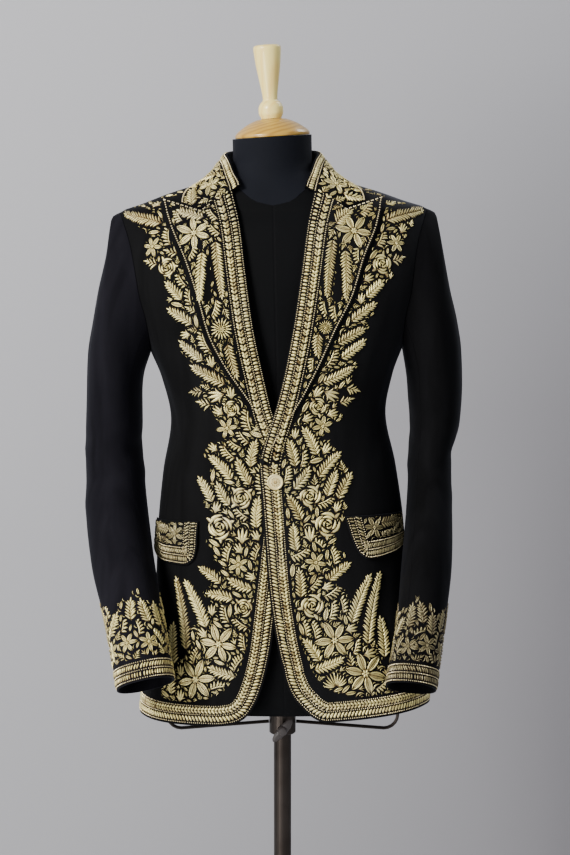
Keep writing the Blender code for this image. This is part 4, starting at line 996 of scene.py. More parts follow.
@dataclass(frozen=True)
class MetalFinish:
    """Metal with fine scratches along the turning, and patches of duller metal."""

    name: str
    colour: tuple
    worn: tuple
    roughness: float
    stretch: tuple = (260, 260, 14)
    metallic: float = 1.0

    def material(self) -> Material:
        """The metal's nodes."""
        paint = Paint(self.name)
        brushed = paint.noise(paint.spot(self.stretch), 1.0, 4.0)
        patch = paint.noise(paint.spot(), 26.0, 4.0)
        colour = paint.mix(patch.between(0.4, 0.75) * 0.6 + brushed * 0.2, self.colour, self.worn)
        return paint.surface({
            "Base Color": colour, "Metallic": self.metallic,
            "Roughness": self.roughness + patch * 0.16 + brushed * 0.08,
            "Normal": paint.bump(brushed, 0.12, 0.0003),
        })


@dataclass(frozen=True)
class BackdropFinish:
    """The studio's plain paper, with painted light and shade: lighter towards the window side and the top,
    darker lower down.
    """

    name: str
    near: tuple
    far: tuple
    one_sided: bool

    def material(self) -> Material:
        """The paper's nodes; a wall lets the views from behind look through it."""
        paint = Paint(self.name)
        x, z = paint.part(paint.spot(), 0), paint.part(paint.spot(), 2)
        soft = paint.noise(paint.spot(), 0.8, 2.0)
        # Painted light and shade: lighter towards the window side (-X) and the top, and darker lower down.
        share = (x + soft * 0.15).between(-0.62, 0.66) ** 1.5 * (1 - z.between(0.95, 1.65) * 0.57)
        colour = paint.mix(share, self.near, self.far)
        colour = paint.mix((1 - z.between(0.7, 1.75)) * 0.11 * (1 - share), colour, rgb(0.0, 0.0, 0.0))
        shader = paint.add("ShaderNodeBsdfPrincipled", {},
                           {"Base Color": colour, "Roughness": 0.95, "Specular IOR Level": 0.1})
        if self.one_sided:
            back = paint.add("ShaderNodeNewGeometry", {}, {}, "Backfacing")
            clear = paint.add("ShaderNodeBsdfTransparent", {}, {})
            shader = paint.add("ShaderNodeMixShader", {}, {0: back, 1: shader, 2: clear})
        paint.add("ShaderNodeOutputMaterial", {}, {"Surface": shader})
        return paint.material


def linked(name: str, data: bpy.types.ID) -> Object:
    """A new object in the scene."""
    made = bpy.data.objects.new(name, data)
    bpy.context.scene.collection.objects.link(made)
    return made


def meshed(form: bmesh.types.BMesh, name: str) -> Mesh:
    """The bmesh as a new mesh; the bmesh is freed."""
    mesh = bpy.data.meshes.new(name)
    form.to_mesh(mesh)
    form.free()
    return mesh


def piece_of(mesh: Mesh, finish: Material, slot: str, angle: float = 50.0, node: str = "") -> Object:
    """A finished piece that rides with the form.

    Args:
        mesh: Its mesh, in place, which has the piece's name.
        finish: Its material.
        slot: The name of a material slot; not used.
        angle: Edges sharper than this many degrees stay crisp.
        node: The CAD node that it stands for, if any.

    Returns:
        The object.
    """
    mesh.materials.append(finish)
    mesh.shade_smooth()
    mesh.set_sharp_from_angle(angle=math.radians(angle))
    made = linked(mesh.name, mesh)
    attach(made, BODY)
    if node:
        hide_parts(node)
    return made


def crowded(count: int, pull: float = 0.55) -> Array:
    """Shares from 0 to 1 that lie closer together towards both ends."""
    even = np.linspace(0, 1, count + 1)
    return even * (1 - pull) + (1 - np.cos(np.pi * even)) / 2 * pull


@dataclass
class ClothPiece:
    """A cut piece of velvet: a fine shell on its solid's form.

    The columns and rows hold the two values, for each line of the grid, that place takes
    with the depth in the cloth.
    """

    name: str
    columns: Array
    rows: Array
    place: Place
    held: str = "draped"
    rests_on: tuple = ("form_torso",)

    def mesh(self) -> tuple[Mesh, float, float, float]:
        """The shell, and the width, length and area of its flat cut.

        Returns:
            The mesh and the three sizes in metres and square metres.
        """
        size = (len(self.columns) - 1, len(self.rows) - 1)
        form = bmesh.new()
        bmesh.ops.create_grid(form, x_segments=size[0], y_segments=size[1], size=1.0)
        deep = form.verts.layers.float.new("deep")
        copied = bmesh.ops.extrude_face_region(form, geom=form.faces[:], use_keep_orig=True)
        for item in copied["geom"]:
            if isinstance(item, bmesh.types.BMVert):
                item[deep] = CLOTH
        grid = (np.array([vertex.co[:2] for vertex in form.verts]) + 1) / 2
        depth = np.array([vertex[deep] for vertex in form.verts])
        column, row = np.rint(grid * size).astype(int).T
        points = settle(self.place(self.columns[column], self.rows[row], depth))
        for vertex, point in zip(form.verts, points):
            vertex.co = point
        form.verts.layers.float.remove(deep)
        bmesh.ops.recalc_face_normals(form, faces=form.faces)
        mesh = meshed(form, self.name + "_cloth")
        face = np.zeros((size[0] + 1, size[1] + 1, 3))
        outer = depth == 0
        face[column[outer], row[outer]] = points[outer]
        width = np.linalg.norm(np.diff(face, axis=0), axis=-1).sum(0).max()
        length = np.linalg.norm(np.diff(face, axis=1), axis=-1).sum(1).max()
        one = np.cross(face[1:, 1:] - face[:-1, :-1], face[:-1, 1:] - face[1:, :-1])
        area = np.linalg.norm(one, axis=-1).sum() / 2
        corners = np.empty(len(mesh.loops), int)
        mesh.loops.foreach_get("vertex_index", corners)
        laid = (grid[corners] * (width, length)).ravel()
        mesh.uv_layers.new(name="cloth").uv.foreach_set("vector", laid)
        return mesh, float(width), float(length), float(area)

    def build(self, finish: Material) -> None:
        """Makes the piece, puts it in its node's stead and states its cut."""
        mesh, width, length, area = self.mesh()
        made = piece_of(mesh, finish, "velvet", 60.0, self.name)
        area = min(area, width * length)
        list(self.rests_on)
        log.info("%s: %.0f x %.0f mm, %.4f m2", self.name, width * 1000, length * 1000, area)


class Blazer:
    """The coat's fifteen cut pieces."""

    def __init__(self) -> None:
        """Makes the charts that the cut pieces share with their stitching."""
        self.collar = CollarChart()
        self.lapels = {side: LapelChart(side) for side in Side}
        self.sleeves = {side: SleeveChart(side) for side in Side}
        self.flaps = {side: FlapChart(side) for side in Side}

    @staticmethod
    def heights(station: float) -> Array:
        """A front's or back's row heights: the side seam, the armhole, then the shoulder."""
        near = HEM + np.array((0, 0.002, 0.005, 0.01, 0.016, 0.024))
        low = np.linspace(HEM + 0.034, float(station_height(station)), 62)
        armhole = station_height(np.linspace(station, 0, 26))[1:]
        shoulder = (1.39, 1.394, 1.398, 1.402, 1.406, 1.4095, 1.4112, 1.415, 1.419, 1.4225, 1.427, 1.432,
                    1.437, NECKLINE)
        return np.concatenate((near, low, armhole, shoulder))

    @staticmethod
    def outer_edge(station: float, height: Array) -> Array:
        """The angle where a front or back ends: at the side seam, the armhole and the shoulder."""
        hand = 1 if station < 0 else -1
        reach = armhole_reach(height, station < 0)
        edge = np.where(height <= station_height(station), station_angle(station), 90 + hand * reach)
        edge = np.where(height >= SHOULDER_TIP, 90.0, edge)
        return edge + hand * coat.seam(edge, height)

    def front(self, side: Side, s: Array, height: Array, depth: Array) -> Array:
        """A point of a front, from its free edge or roll to its outer edge."""
        folded = ramp(BREAK - 0.008, BREAK - 0.001, height)
        reach = coat.edge(side, height) + folded * (ROLL_RADIUS + 2 * GAP)
        start = coat.angle_at(np.maximum(reach, coat.necks(height)[0]), height)
        angle = start + (self.outer_edge(FORE_STATION, height) - start) * s
        across = coat.section(coat.coat, angle, height)[..., 0]
        return coat.point(side.value * angle, height, coat.lap(side, across, height) - depth)

    def side_body(self, side: Side, station: Array, share: Array, depth: Array) -> Array:
        """A point of a side body, between two places of the armhole."""
        angle = station_angle(station)
        ends = 1.0 * np.isclose(station, FORE_STATION) - np.isclose(station, AFT_STATION + 360)
        height = HEM + share * (station_height(station) - HEM)
        return coat.point(side.value * (angle + ends * coat.seam(angle, HEM)), height, -depth)

    def back(self, side: Side, s: Array, height: Array, depth: Array) -> Array:
        """A point of a back, from its outer edge to the centre back seam."""
        start = self.outer_edge(AFT_STATION, height)
        end = 180.0 - coat.seam(180.0 + 0 * height, height)
        return coat.point(side.value * (start + (end - start) * s), height, -depth)

    def pieces(self) -> list[ClothPiece]:
        """All the cut pieces, those underneath first."""
        made = []
        for side in Side:
            beside = FORE_STATION + (AFT_STATION + 360 - FORE_STATION) * crowded(22)
            for name, columns, rows, place in (
                ("front", crowded(44), self.heights(FORE_STATION), self.front),
                ("side", beside, np.linspace(0, 1, 71), self.side_body),
                ("back", crowded(36), self.heights(AFT_STATION), self.back),
            ):
                made.append(ClothPiece(f"{name}_{side.word}", columns, rows, partial(place, side)))
        gap = math.degrees(GAP / 2 / 0.045)
        down = np.concatenate(((0, 0.003, 0.008, 0.015, 0.024), np.linspace(0.036, 1, 84)))
        fore, aft = SLEEVE_SEAMS
        facing = np.concatenate((np.linspace(-1, 0, 9)[:-1], np.linspace(0, 1, 31)))
        for side in Side:
            top = fore + gap + (aft - fore - 2 * gap) * crowded(48, 0.3)
            under = aft + gap + (fore + 360 - aft - 2 * gap) * crowded(28, 0.3)
            length = 1 - (1 - np.linspace(0, 1, 101)) ** 1.5
            for name, columns, rows, place, held in (
                ("top_sleeve", top, down, self.sleeves[side].sleeve, "hung"),
                ("under_sleeve", under, down, self.sleeves[side].sleeve, "hung"),
                ("lapel", facing, length, self.lapels[side].face, "folded"),
                ("pocket_flap", crowded(34), crowded(20), self.flaps[side].flap, "hung"),
            ):
                made.append(ClothPiece(f"{name}_{side.word}", columns, rows, place, held,
                                       (f"front_{side.word}_cloth",)))
        stand, fold, fall = np.linspace(0, 1, 5), np.linspace(1, 4, 11)[1:], np.linspace(4, 9, 19)[1:]
        rounds, along = np.concatenate((stand, fold, fall)), np.linspace(-1, 1, 121)
        made.append(ClothPiece("collar", rounds, along, self.collar.bent, "folded",
                               ("back_left_cloth", "back_right_cloth", "form_neck")))
        return made

    def build(self, finish: Material, other: dict[str, Material]) -> None:
        """Makes every piece.

        Args:
            finish: The velvet.
            other: Copies of the velvet with light and shade painted in, for pieces that stand in more or less
                light.
        """
        for piece in self.pieces():
            piece.build(other.get(piece.name, finish))


def toward(angle: float, far: float = 1.0) -> tuple[float, float]:
    """The x and y of a place this far off in a direction in degrees."""
    return math.cos(math.radians(angle)) * far, math.sin(math.radians(angle)) * far


# A satin leaf: x, y, angle, length, width, bend, rise, tone, blunt; painted shade is added to the tone
Leaf = tuple[float, float, float, float, float, float, float, float, float]


def leaf(x: float, y: float, angle: float, length: float, width: float, bend: float = 0.0,
         rise: float = 0.0011, tint: float = 0.6, blunt: float = 0.9) -> Leaf:
    """One leaf of satin stitch, from its base at x, y, its angle in degrees from +x."""
    return (x, y, angle, length, width, bend, rise, tint, blunt)


def turned_leaves(leaves: Sequence[Leaf], x: float, y: float, turn: float) -> list[Leaf]:
    """The leaves turned and moved as one motif."""
    c, s = toward(turn)
    return [(x + a * c - b * s, y + a * s + b * c, angle + turn, *rest) for a, b, angle, *rest in leaves]


class Motifs:
    """Generic leaves and flowers, in metres, each growing up from 0, 0."""

    def __init__(self, seed: int) -> None:
        """Starts the small differences between stitches."""
        self.rng = np.random.default_rng(seed)

    def vary(self, middle: float, share: float = 0.12) -> float:
        """A value near the middle one."""
        return middle * (1 + share * float(self.rng.uniform(-1, 1)))

    def tone(self) -> float:
        """A tone between worn and bright."""
        return float(np.clip(self.rng.normal(0.64, 0.24), 0.05, 1.1))

    def barbs(self, length: float, half: float, hands: Sequence[int], pitch: float, curve: float,
              open_: float) -> list[Leaf]:
        """Slanted pointed leaves along a curved stem, shorter towards both ends.

        Args:
            length: The stem's length.
            half: How far the longest leaf reaches to its side.
            hands: 1 for the right side, -1 for the left.
            pitch: The distance between leaves.
            curve: How far the tip bends over, as a share of the length.
            open_: The angle between leaf and stem at the foot, in degrees.

        Returns:
            The leaves.
        """
        made, count, base = [], max(3, round(length / pitch)), self.tone()
        for k in range(count):
            s = (k + 0.2) / count * 0.93
            lean = math.degrees(math.atan(2 * curve * s))
            swell = 0.42 + 0.58 * math.sin(math.pi * min(1.0, 0.22 + 0.74 * s)) ** 0.8
            reach = half * swell * (1.16 - 0.42 * s)
            for hand in hands:
                slant = self.vary(open_ - 14 * s, 0.08)
                long = self.vary(reach / math.sin(math.radians(slant)), 0.1)
                tint = base + 0.17 * hand + self.vary(0.0) + float(self.rng.normal(0, 0.09))
                made.append(leaf(curve * length * s * s, length * s, 90 - lean - hand * slant, long,
                                 pitch * 0.7, hand * 0.085, 0.002, tint, 0.92))
        return made

    def stem(self, length: float, curve: float, width: float = 0.0012) -> Leaf:
        """The thin line of stitches that leaves grow from."""
        lean, long = math.degrees(math.atan(curve)), length * 1.02
        return leaf(0, -0.06 * length, 90 - lean, long, width, 0.25 * curve, 0.001, self.tone(), 0.25)

    def fern(self, length: float, width: float, pitch: float, curve: float) -> list[Leaf]:
        """A stem with close pairs of slanted barbs and a leaf at its tip."""
        lean = math.degrees(math.atan(2 * curve))
        tip = leaf(curve * length * 0.85, length * 0.9, 90 - lean, width * 0.52, width * 0.17, 0.03, 0.0013,
                   0.75)
        return self.barbs(length, width / 2, (1, -1), pitch, curve, 50) + [self.stem(length, curve), tip]

    def comb(self, length: float) -> list[Leaf]:
        """A curved stem with barbs on its outer side alone."""
        made = self.barbs(length, length * 0.36, (1,), 0.0043, -0.32, 66)
        return made + [self.stem(length, -0.32, 0.0021)]

    def sprig(self, length: float, pairs: int = 3) -> list[Leaf]:
        """A small spray of pointed leaves."""
        made, tone = [], self.tone()
        for k in range(pairs):
            y = length * (0.02 + 0.62 * k / pairs)
            size = length * (0.52 - 0.08 * k)
            for hand in (1, -1):
                made.append(leaf(0, y, 90 - hand * self.vary(47 - 8 * k), self.vary(size), size * 0.22,
                                 hand * 0.1, 0.0015, tone + 0.2 * hand, 1.0))
        made.append(leaf(0, length * 0.48, 90, length * 0.54, length * 0.13, 0.05, 0.0014, tone + 0.1))
        return made

    def blade(self, length: float) -> list[Leaf]:
        """A pointed leaf with a pale rim round a worn middle."""
        wide = self.vary(0.36)
        made = [leaf(0, 0, 90, length * 0.9, length * wide * 0.6, 0, 0.0009, 0.0, 1.2)]
        for hand in (1, -1):
            tint = self.tone() + 0.2
            made.append(leaf(0, 0, 90, length, length * 0.11, hand * wide * 0.3, 0.0016, tint, 0.8))
        return made

    def curl(self, length: float) -> list[Leaf]:
        """A bent tendril."""
        return [leaf(0, 0, 90, length, length * 0.15, self.vary(0.3), 0.0013, self.tone() + 0.15, 0.8)]

    def pair(self, length: float) -> list[Leaf]:
        """Two or three small leaves from one foot."""
        tone = self.tone()
        made = [leaf(0, 0, 90 + 31 * k, self.vary(length), length * 0.2, -0.1 * k, 0.0015, tone + 0.2 * k,
                     1.0) for k in (-1, 1)]
        return made + [leaf(0, length * 0.1, 90, length * 1.1, length * 0.17, 0, 0.0015, tone, 1.0)]

    def star(self, radius: float, petals: int = 6) -> list[Leaf]:
        """An open flower whose petals are outlined, with a vein in each."""
        made, first, wide = [], float(self.rng.uniform(0, 60)), 0.165
        for k in range(petals):
            turn = first + 360 * k / petals + self.vary(5.0, 1.0)
            x, y = toward(turn, radius * 0.1)
            long = self.vary(radius * 0.92, 0.09)
            for hand in (1, -1):
                made.append(leaf(x, y, turn, long, radius * 0.085, hand * wide, 0.0016, 0.95, 0.5))
                made.append(leaf(x, y, turn, long * 0.92, radius * 0.13, hand * wide * 0.44, 0.0009,
                                 0.34 + 0.14 * hand, 0.9))
        return made + self.heart(radius * 0.2, radius * 0.11, 0.002, 0.95, 0.4, 60)

    @staticmethod
    def heart(length: float, width: float, rise: float, tint: float, blunt: float, step: int) -> list[Leaf]:
        """Short leaves all round from one point, this many degrees apart."""
        return [leaf(0, 0, angle, length, width, 0, rise, tint, blunt) for angle in range(0, 360, step)]

    def daisy(self, radius: float, petals: int = 17) -> list[Leaf]:
        """A full flower of two rings of narrow petals."""
        made = []
        for count, start, long, rise, shift in (
            (petals, 0.34, 0.66, 0.0014, 0), (petals - 5, 0.08, 0.42, 0.0021, 0.5),
        ):
            for k in range(count):
                turn = 360 * (k + shift) / count
                made.append(leaf(*toward(turn, radius * start), turn, self.vary(radius * long, 0.12),
                                 radius * 4.4 * (start + 0.2) / count, 0, rise, self.tone() + 0.15, 0.85))
        return made + self.heart(radius * 0.15, radius * 0.1, 0.0024, 0.9, 0.5, 72)

    def rose(self, radius: float) -> list[Leaf]:
        """A cabbage rose: cupped petals that wind round a tight heart, on a few pointed sepals."""
        made = []
        for k in range(3):
            turn = 120 * k + self.vary(40.0, 1.0)
            made.append(leaf(*toward(turn, radius * 0.66), turn + 20, self.vary(radius * 0.62), radius * 0.27,
                             0.12, 0.001, self.tone() - 0.1, 1.0))
        for count, at, wide, rise in (
            (4, 0.82, 0.27, 0.0014), (4, 0.56, 0.24, 0.002), (3, 0.31, 0.2, 0.0025),
        ):
            half = 180 / count * 1.08
            for k in range(count):
                turn = 360 * (k + 0.41 * count) / count + self.vary(12.0, 1.0)
                near, far = at * self.vary(0.88, 0.06), at * self.vary(1.06, 0.06)
                x, y = toward(turn - half, near * radius)
                end = toward(turn + half, far * radius)
                chord = math.hypot(end[0] - x, end[1] - y)
                bow = (1 - math.cos(math.radians(half))) * at * radius / chord
                made.append(leaf(x, y, math.degrees(math.atan2(end[1] - y, end[0] - x)), chord, wide * radius,
                                 -bow * 0.9, rise, self.tone() + 0.1, 0.75))
        return made + self.heart(radius * 0.16, radius * 0.11, 0.0028, 0.9, 0.6, 120)

    def fan(self, radius: float, spread: float = 150.0, count: int = 11) -> list[Leaf]:
        """Curved leaves that fan out from one foot."""
        made = []
        for k in range(count):
            share = k / (count - 1) - 0.5
            made.append(leaf(share * radius * 0.12, 0, 90 - share * spread,
                             self.vary(radius * (1 - 0.4 * abs(share)), 0.08),
                             radius * 1.35 / count, -0.2 * share, 0.0015, self.tone()))
        return made

    def bud(self, length: float) -> list[Leaf]:
        """A closed tulip between two curled sepals."""
        petals = [leaf(0, 0, 90 + 17 * k, length * (1 - 0.06 * abs(k)), length * 0.2, 0.06 * k, 0.0016,
                       0.9 - 0.3 * abs(k), 0.8) for k in (-1, 0, 1)]
        return petals + [leaf(0, -0.1 * length, 90 + 50 * k, length * 0.66, length * 0.15, -0.22 * k, 0.0013,
                              0.5) for k in (-1, 1)]


def leaf_points(leaves: Array, c: Array, s: Array) -> tuple[Array, Array, Array, Array]:
    """Where places of each leaf lie.

    Args:
        leaves: The leaves, a row for each.
        c: The places' shares across, from -1 to 1.
        s: Their shares along, from 0 to 1.

    Returns:
        The points, how full the leaves are there, and the distances along and aside.
    """
    x, y, angle, length, width, bend, _, _, blunt = (column[:, None] for column in leaves.T)
    profile = np.sin(np.pi * np.clip(s, 0, 1) ** 0.85) ** blunt
    forward, aside = s * length, c * width / 2 * profile + bend * length * 4 * s * (1 - s)
    cosine, sine = np.cos(np.radians(angle)), np.sin(np.radians(angle))
    points = np.stack((x + forward * cosine - aside * sine, y + forward * sine + aside * cosine), -1)
    return points, profile, forward, aside


def covered(leaves: Sequence[Leaf]) -> Array:
    """Points spread over what the leaves cover."""
    s, c = (grid.ravel()[None] for grid in np.meshgrid(np.linspace(0.06, 1, 9), (-0.9, 0.0, 0.9)))
    return leaf_points(np.array(leaves, float), c, s)[0].reshape(-1, 2)


class Zone:
    """A patch of a chart in small cells, which motifs take up so that none crosses another."""

    cell = 0.0008

    def __init__(self, low: tuple[float, float], high: tuple[float, float],
                 inside: Callable[[Array, Array], Array]) -> None:
        """Opens the cells that lie in the patch.

        Args:
            low: The least coordinates of the patch.
            high: The greatest ones.
            inside: Says which places of the chart are in the patch.
        """
        self.low = np.array(low)
        x, y = np.meshgrid(np.arange(low[0], high[0], self.cell), np.arange(low[1], high[1], self.cell))
        self.open = inside(x, y)
        self.open[[0, -1]] = False
        self.open[:, [0, -1]] = False

    def cells(self, points: Array) -> tuple[Array, Array]:
        """The rows and columns of the cells at these points."""
        index = np.rint((points - self.low) / self.cell).astype(int)
        rows, columns = self.open.shape
        return np.clip(index[:, 1], 0, rows - 1), np.clip(index[:, 0], 0, columns - 1)

    def narrow(self, inside: Callable[[Array, Array], Array]) -> None:
        """Closes the cells outside a smaller patch."""
        rows, columns = np.nonzero(self.open)
        self.open[rows, columns] = inside(self.low[0] + columns * self.cell, self.low[1] + rows * self.cell)

    def roomy(self, radius: float) -> tuple[Array, Array]:
        """The rows and columns of the open cells with this much room round them."""
        step = max(1, int(radius / self.cell))
        free = self.open.copy()
        for way in ((-1, -1), (-1, 0), (-1, 1), (0, -1), (0, 1), (1, -1), (1, 0), (1, 1)):
            free &= np.roll(self.open, (way[0] * step, way[1] * step), (0, 1))
        return np.nonzero(free)

    def take(self, points: Array) -> bool:
        """Takes up the cells at the points and those beside them, if all are open."""
        rows, columns = self.cells(points)
        if not self.open[rows, columns].all():
            return False
        for down in (-1, 0, 1):
            for along in (-1, 0, 1):
                self.open[rows + down, columns + along] = False
        return True


class Satin:
    """All the leaves and bars that are stitched on one chart."""

    def __init__(self, chart: Chart) -> None:
        """Starts with no stitches."""
        self.chart = chart
        self.rows: list[Leaf] = []
        self.origins: list[tuple[float, float]] = []

    def lay(self, x: float, y: float, leaves: Sequence[Leaf], turn: float = 0.0) -> None:
        """Stitches a motif at a place of the chart."""
        self.rows += turned_leaves(leaves, 0, 0, turn)
        self.origins += [(x, y)] * len(leaves)

    @staticmethod
    def template(across: int, along: int) -> tuple[Array, Array]:
        """A unit leaf's vertices, as shares across and along, and its triangles."""
        form = bmesh.new()
        bmesh.ops.create_grid(form, x_segments=across, y_segments=along, size=1.0)
        for row in [[v for v in form.verts if abs(v.co.y - at) < 1e-6] for at in (-1.0, 1.0)]:
            bmesh.ops.pointmerge(form, verts=row, merge_co=(0, row[0].co.y, 0))
        bmesh.ops.triangulate(form, faces=form.faces)
        form.verts.index_update()
        spots = np.array([(v.co.x, (v.co.y + 1) / 2) for v in form.verts])
        faces = np.array([[v.index for v in f.verts] for f in form.faces])
        form.free()
        return spots, faces

    def build(self, name: str, finish: Material, slot: str = "velvet", across: int = 4,
              along: int = 5) -> int:
        """Joins all the stitches into one piece.

        Args:
            name: The piece's name.
            finish: Its thread.
            slot: The name of a material slot; not used.
            across: Faces across a leaf.
            along: Faces along a leaf.

        Returns:
            The number of its triangles.
        """
        spots, faces = self.template(across, along)
        rows, origins = np.array(self.rows, float), np.array(self.origins, float)
        matrix, hand = self.chart.frames(origins[:, 0], origins[:, 1])
        c, s = spots[:, 0][None], spots[:, 1][None]
        local, profile, forward, aside = leaf_points(rows, c, s)
        chart = origins[:, None, :] + np.einsum("nij,nkj->nki", matrix, local)
        high = np.sqrt(np.clip(1 - c * c * 0.94, 0, 1)) * np.minimum(1, 2.4 * profile)
        points = self.chart.place(chart[..., 0], chart[..., 1], rows[:, 6:7] * high - 0.00012)
        joined = faces[None] + (np.arange(len(rows)) * len(spots))[:, None, None]
        joined = np.where(hand[:, None, None] > 0, joined, joined[..., ::-1]).reshape(-1, 3)
        mesh = bpy.data.meshes.new(name)
        mesh.from_pydata(points.reshape(-1, 3), [], joined)
        stitch = np.stack(np.broadcast_arrays(forward, aside), -1).reshape(-1, 2)
        mesh.uv_layers.new(name="stitch").uv.foreach_set("vector", stitch[joined.ravel()].ravel())
        # Painted light and shade in each point's tone: darker towards a leaf's edges, darker at its foot and
        # lighter towards its tip, and lighter on one side.
        shade = rows[:, 7:8] + (high - 0.78) * 1.45 + (s - 0.45) * 0.5 + c * 0.14
        shade = np.broadcast_to(shade, high.shape).ravel()
        mesh.attributes.new("tint", "FLOAT", "POINT").data.foreach_set("value", shade)
        piece_of(mesh, finish, slot, 89.0)
        log.info("%s: %d stitches, %d triangles", name, len(rows), len(joined))
        return len(joined)


class Line:
    """A seam or edge as close points in a chart, with the cloth on its left."""

    def __init__(self, points: Array, step: float = 0.001) -> None:
        """Spaces the points evenly."""
        points = np.asarray(points, float)
        far = np.concatenate(((0,), np.cumsum(np.linalg.norm(np.diff(points, axis=0), axis=1))))
        at = np.linspace(0, far[-1], max(2, int(far[-1] / step)))
        self.points = np.stack([np.interp(at, far, column) for column in points.T], -1)
        self.length = float(far[-1])

    def aside(self, distance: float) -> "Line":
        """The line moved into the cloth by this much."""
        way = unit(np.gradient(self.points, axis=0))
        moved = self.points + np.stack((-way[:, 1], way[:, 0]), -1) * distance
        ahead = (np.diff(moved, axis=0) * way[:-1]).sum(-1) > 0
        moved = moved[np.concatenate(((True,), ahead))]
        kernel = np.ones(9) / 9
        soft = np.stack([np.convolve(column, kernel, "valid") for column in moved.T], -1)
        return Line(np.vstack((moved[:1], soft, moved[-1:])))

    def stations(self, pitch: float) -> tuple[Array, Array]:
        """Places along the line, and the line's direction there in degrees."""
        count = max(1, round(self.length / pitch))
        index = np.rint((np.arange(count) + 0.5) / count * (len(self.points) - 1)).astype(int)
        way = np.gradient(self.points, axis=0)[index]
        return self.points[index], np.degrees(np.arctan2(way[:, 1], way[:, 0]))


class Row(Enum):
    """The kinds of row in a braid."""

    BEADS = "beads"
    BARS = "bars"
    SLANTS = "slants"
    CHEVRONS = "chevrons"


@dataclass(frozen=True)
class BraidRow:
    """One row of a braid; full is the share of its pitch that thread covers."""

    kind: Row
    inset: float
    width: float = 0.0018
    pitch: float = 0.0031
    full: float = 0.7


BORDER = (
    BraidRow(Row.BEADS, 0.0036), BraidRow(Row.SLANTS, 0.0094, 0.0086, 0.005), BraidRow(Row.BEADS, 0.0152),
    BraidRow(Row.CHEVRONS, 0.0211, 0.0094, 0.005), BraidRow(Row.BEADS, 0.0272),
)
ROLL = (
    BraidRow(Row.BEADS, 0.0022), BraidRow(Row.BARS, 0.0072, 0.0076, 0.0047, 0.78),
    BraidRow(Row.BEADS, 0.0122), BraidRow(Row.CHEVRONS, 0.0182, 0.0092, 0.005), BraidRow(Row.BEADS, 0.025),
)
NARROW = (
    BraidRow(Row.BEADS, 0.003), BraidRow(Row.BARS, 0.0081, 0.0076, 0.0043, 0.62), BraidRow(Row.BEADS, 0.0132),
    BraidRow(Row.SLANTS, 0.0183, 0.0076, 0.0044, 0.62), BraidRow(Row.BEADS, 0.0235),
)
CORD = (BraidRow(Row.BEADS, 0.0022, 0.0022),)
PACKING_ROUNDS = 8


def braid(satin: Satin, beads: Satin, line: Line, rows: Sequence[BraidRow], motifs: Motifs) -> None:
    """Stitches a braid along an edge.

    Args:
        satin: Where the bars and chevrons go.
        beads: Where the beads go.
        line: The edge.
        rows: The braid's rows.
        motifs: The source of small differences.
    """
    for row in rows:
        points, ways = line.aside(row.inset).stations(row.pitch)
        half, wide = row.width / 2, row.pitch * row.full
        slant = 60 if row.kind is Row.SLANTS else 84
        for (x, y), way in zip(points, ways):
            if row.kind is Row.BEADS:
                tint = motifs.vary(0.95, 0.15)
                beads.lay(x, y, [leaf(-half, 0, 0, row.width, row.width, 0, 0.0016, tint, 0.5)], way)
            elif row.kind is Row.CHEVRONS:
                tone = motifs.tone()
                pair = [leaf(-half * 0.75, hand * half, -hand * 40, half * 1.5, wide, -hand * 0.07, 0.0018,
                             tone + 0.28 * hand, 0.42) for hand in (1, -1)]
                satin.lay(x, y, pair, way)
            else:
                long, foot = row.width / math.sin(math.radians(slant)), -half / math.tan(math.radians(slant))
                tint = motifs.tone() + 0.05
                satin.lay(x, y, [leaf(foot, -half, slant, long, wide, 0.05, 0.0018, tint, 0.32)], way)


# How far a front's stitching reaches, by height: motifs and filling below the break, the
# border's inner edge, and the motifs above the break
BAND_TOP = 1.075
BAND_REACH = Curve((0.71, 0.74, 0.8, 0.86, 0.893, 0.912, 0.95, 1.0, 1.05, 1.09),
                   (0.186, 0.174, 0.172, 0.168, 0.16, 0.112, 0.112, 0.122, 0.116, 0.104))
FILL_REACH = Curve((0.71, 0.74, 0.77, 0.81, 0.85, 0.9, 0.95, 1.0, 1.05, 1.09),
                   (0.186, 0.168, 0.15, 0.124, 0.104, 0.09, 0.092, 0.1, 0.096, 0.09))
BORDER_REACH = Curve((0.712, 0.716, 0.724, 0.738, 0.76, 0.81, 1.0, 1.09),
                     (0.11, 0.076, 0.058, 0.046, 0.038, 0.032, 0.031, 0.03))
UPPER_REACH = Curve((1.06, 1.1, 1.14, 1.19, 1.25, 1.33, 1.38, 1.43),
                    (0.08, 0.084, 0.08, 0.06, 0.05, 0.064, 0.078, 0.084))

# Chief motifs of each chart: kind, x, y, size, turn and, on the lapel, curve
FRONT_MOTIFS = (
    ("rose", 0.05, 0.998, 0.0165, 0), ("rose", 0.078, 0.958, 0.0195, 0), ("rose", 0.05, 0.846, 0.0175, 0),
    ("star", 0.084, 0.796, 0.027, 0), ("star", 0.122, 0.746, 0.031, 0), ("star", 0.056, 0.906, 0.015, 0),
    ("fern", 0.062, 1.024, 0.044, -38), ("fern", 0.1, 0.966, 0.046, -34), ("bud", 0.05, 0.936, 0.022, 4),
    ("fern", 0.09, 0.992, 0.038, -24), ("comb", 0.066, 0.925, 0.03, 30), ("fern", 0.084, 0.934, 0.036, -44),
    ("fern", 0.104, 0.818, 0.072, -20), ("fern", 0.132, 0.786, 0.104, -9), ("fern", 0.155, 0.764, 0.056, 2),
    ("fern", 0.16, 0.722, 0.046, -12), ("fan", 0.08, 0.732, 0.03, 20), ("fern", 0.062, 0.768, 0.052, 22),
    ("fern", 0.034, 1.04, 0.036, 6), ("fern", 0.078, 0.88, 0.036, -48), ("fern", 0.11, 0.762, 0.034, -4),
    ("comb", 0.072, 0.826, 0.026, -30), ("comb", 0.1, 0.733, 0.026, 60), ("fern", 0.046, 0.872, 0.04, -8),
)
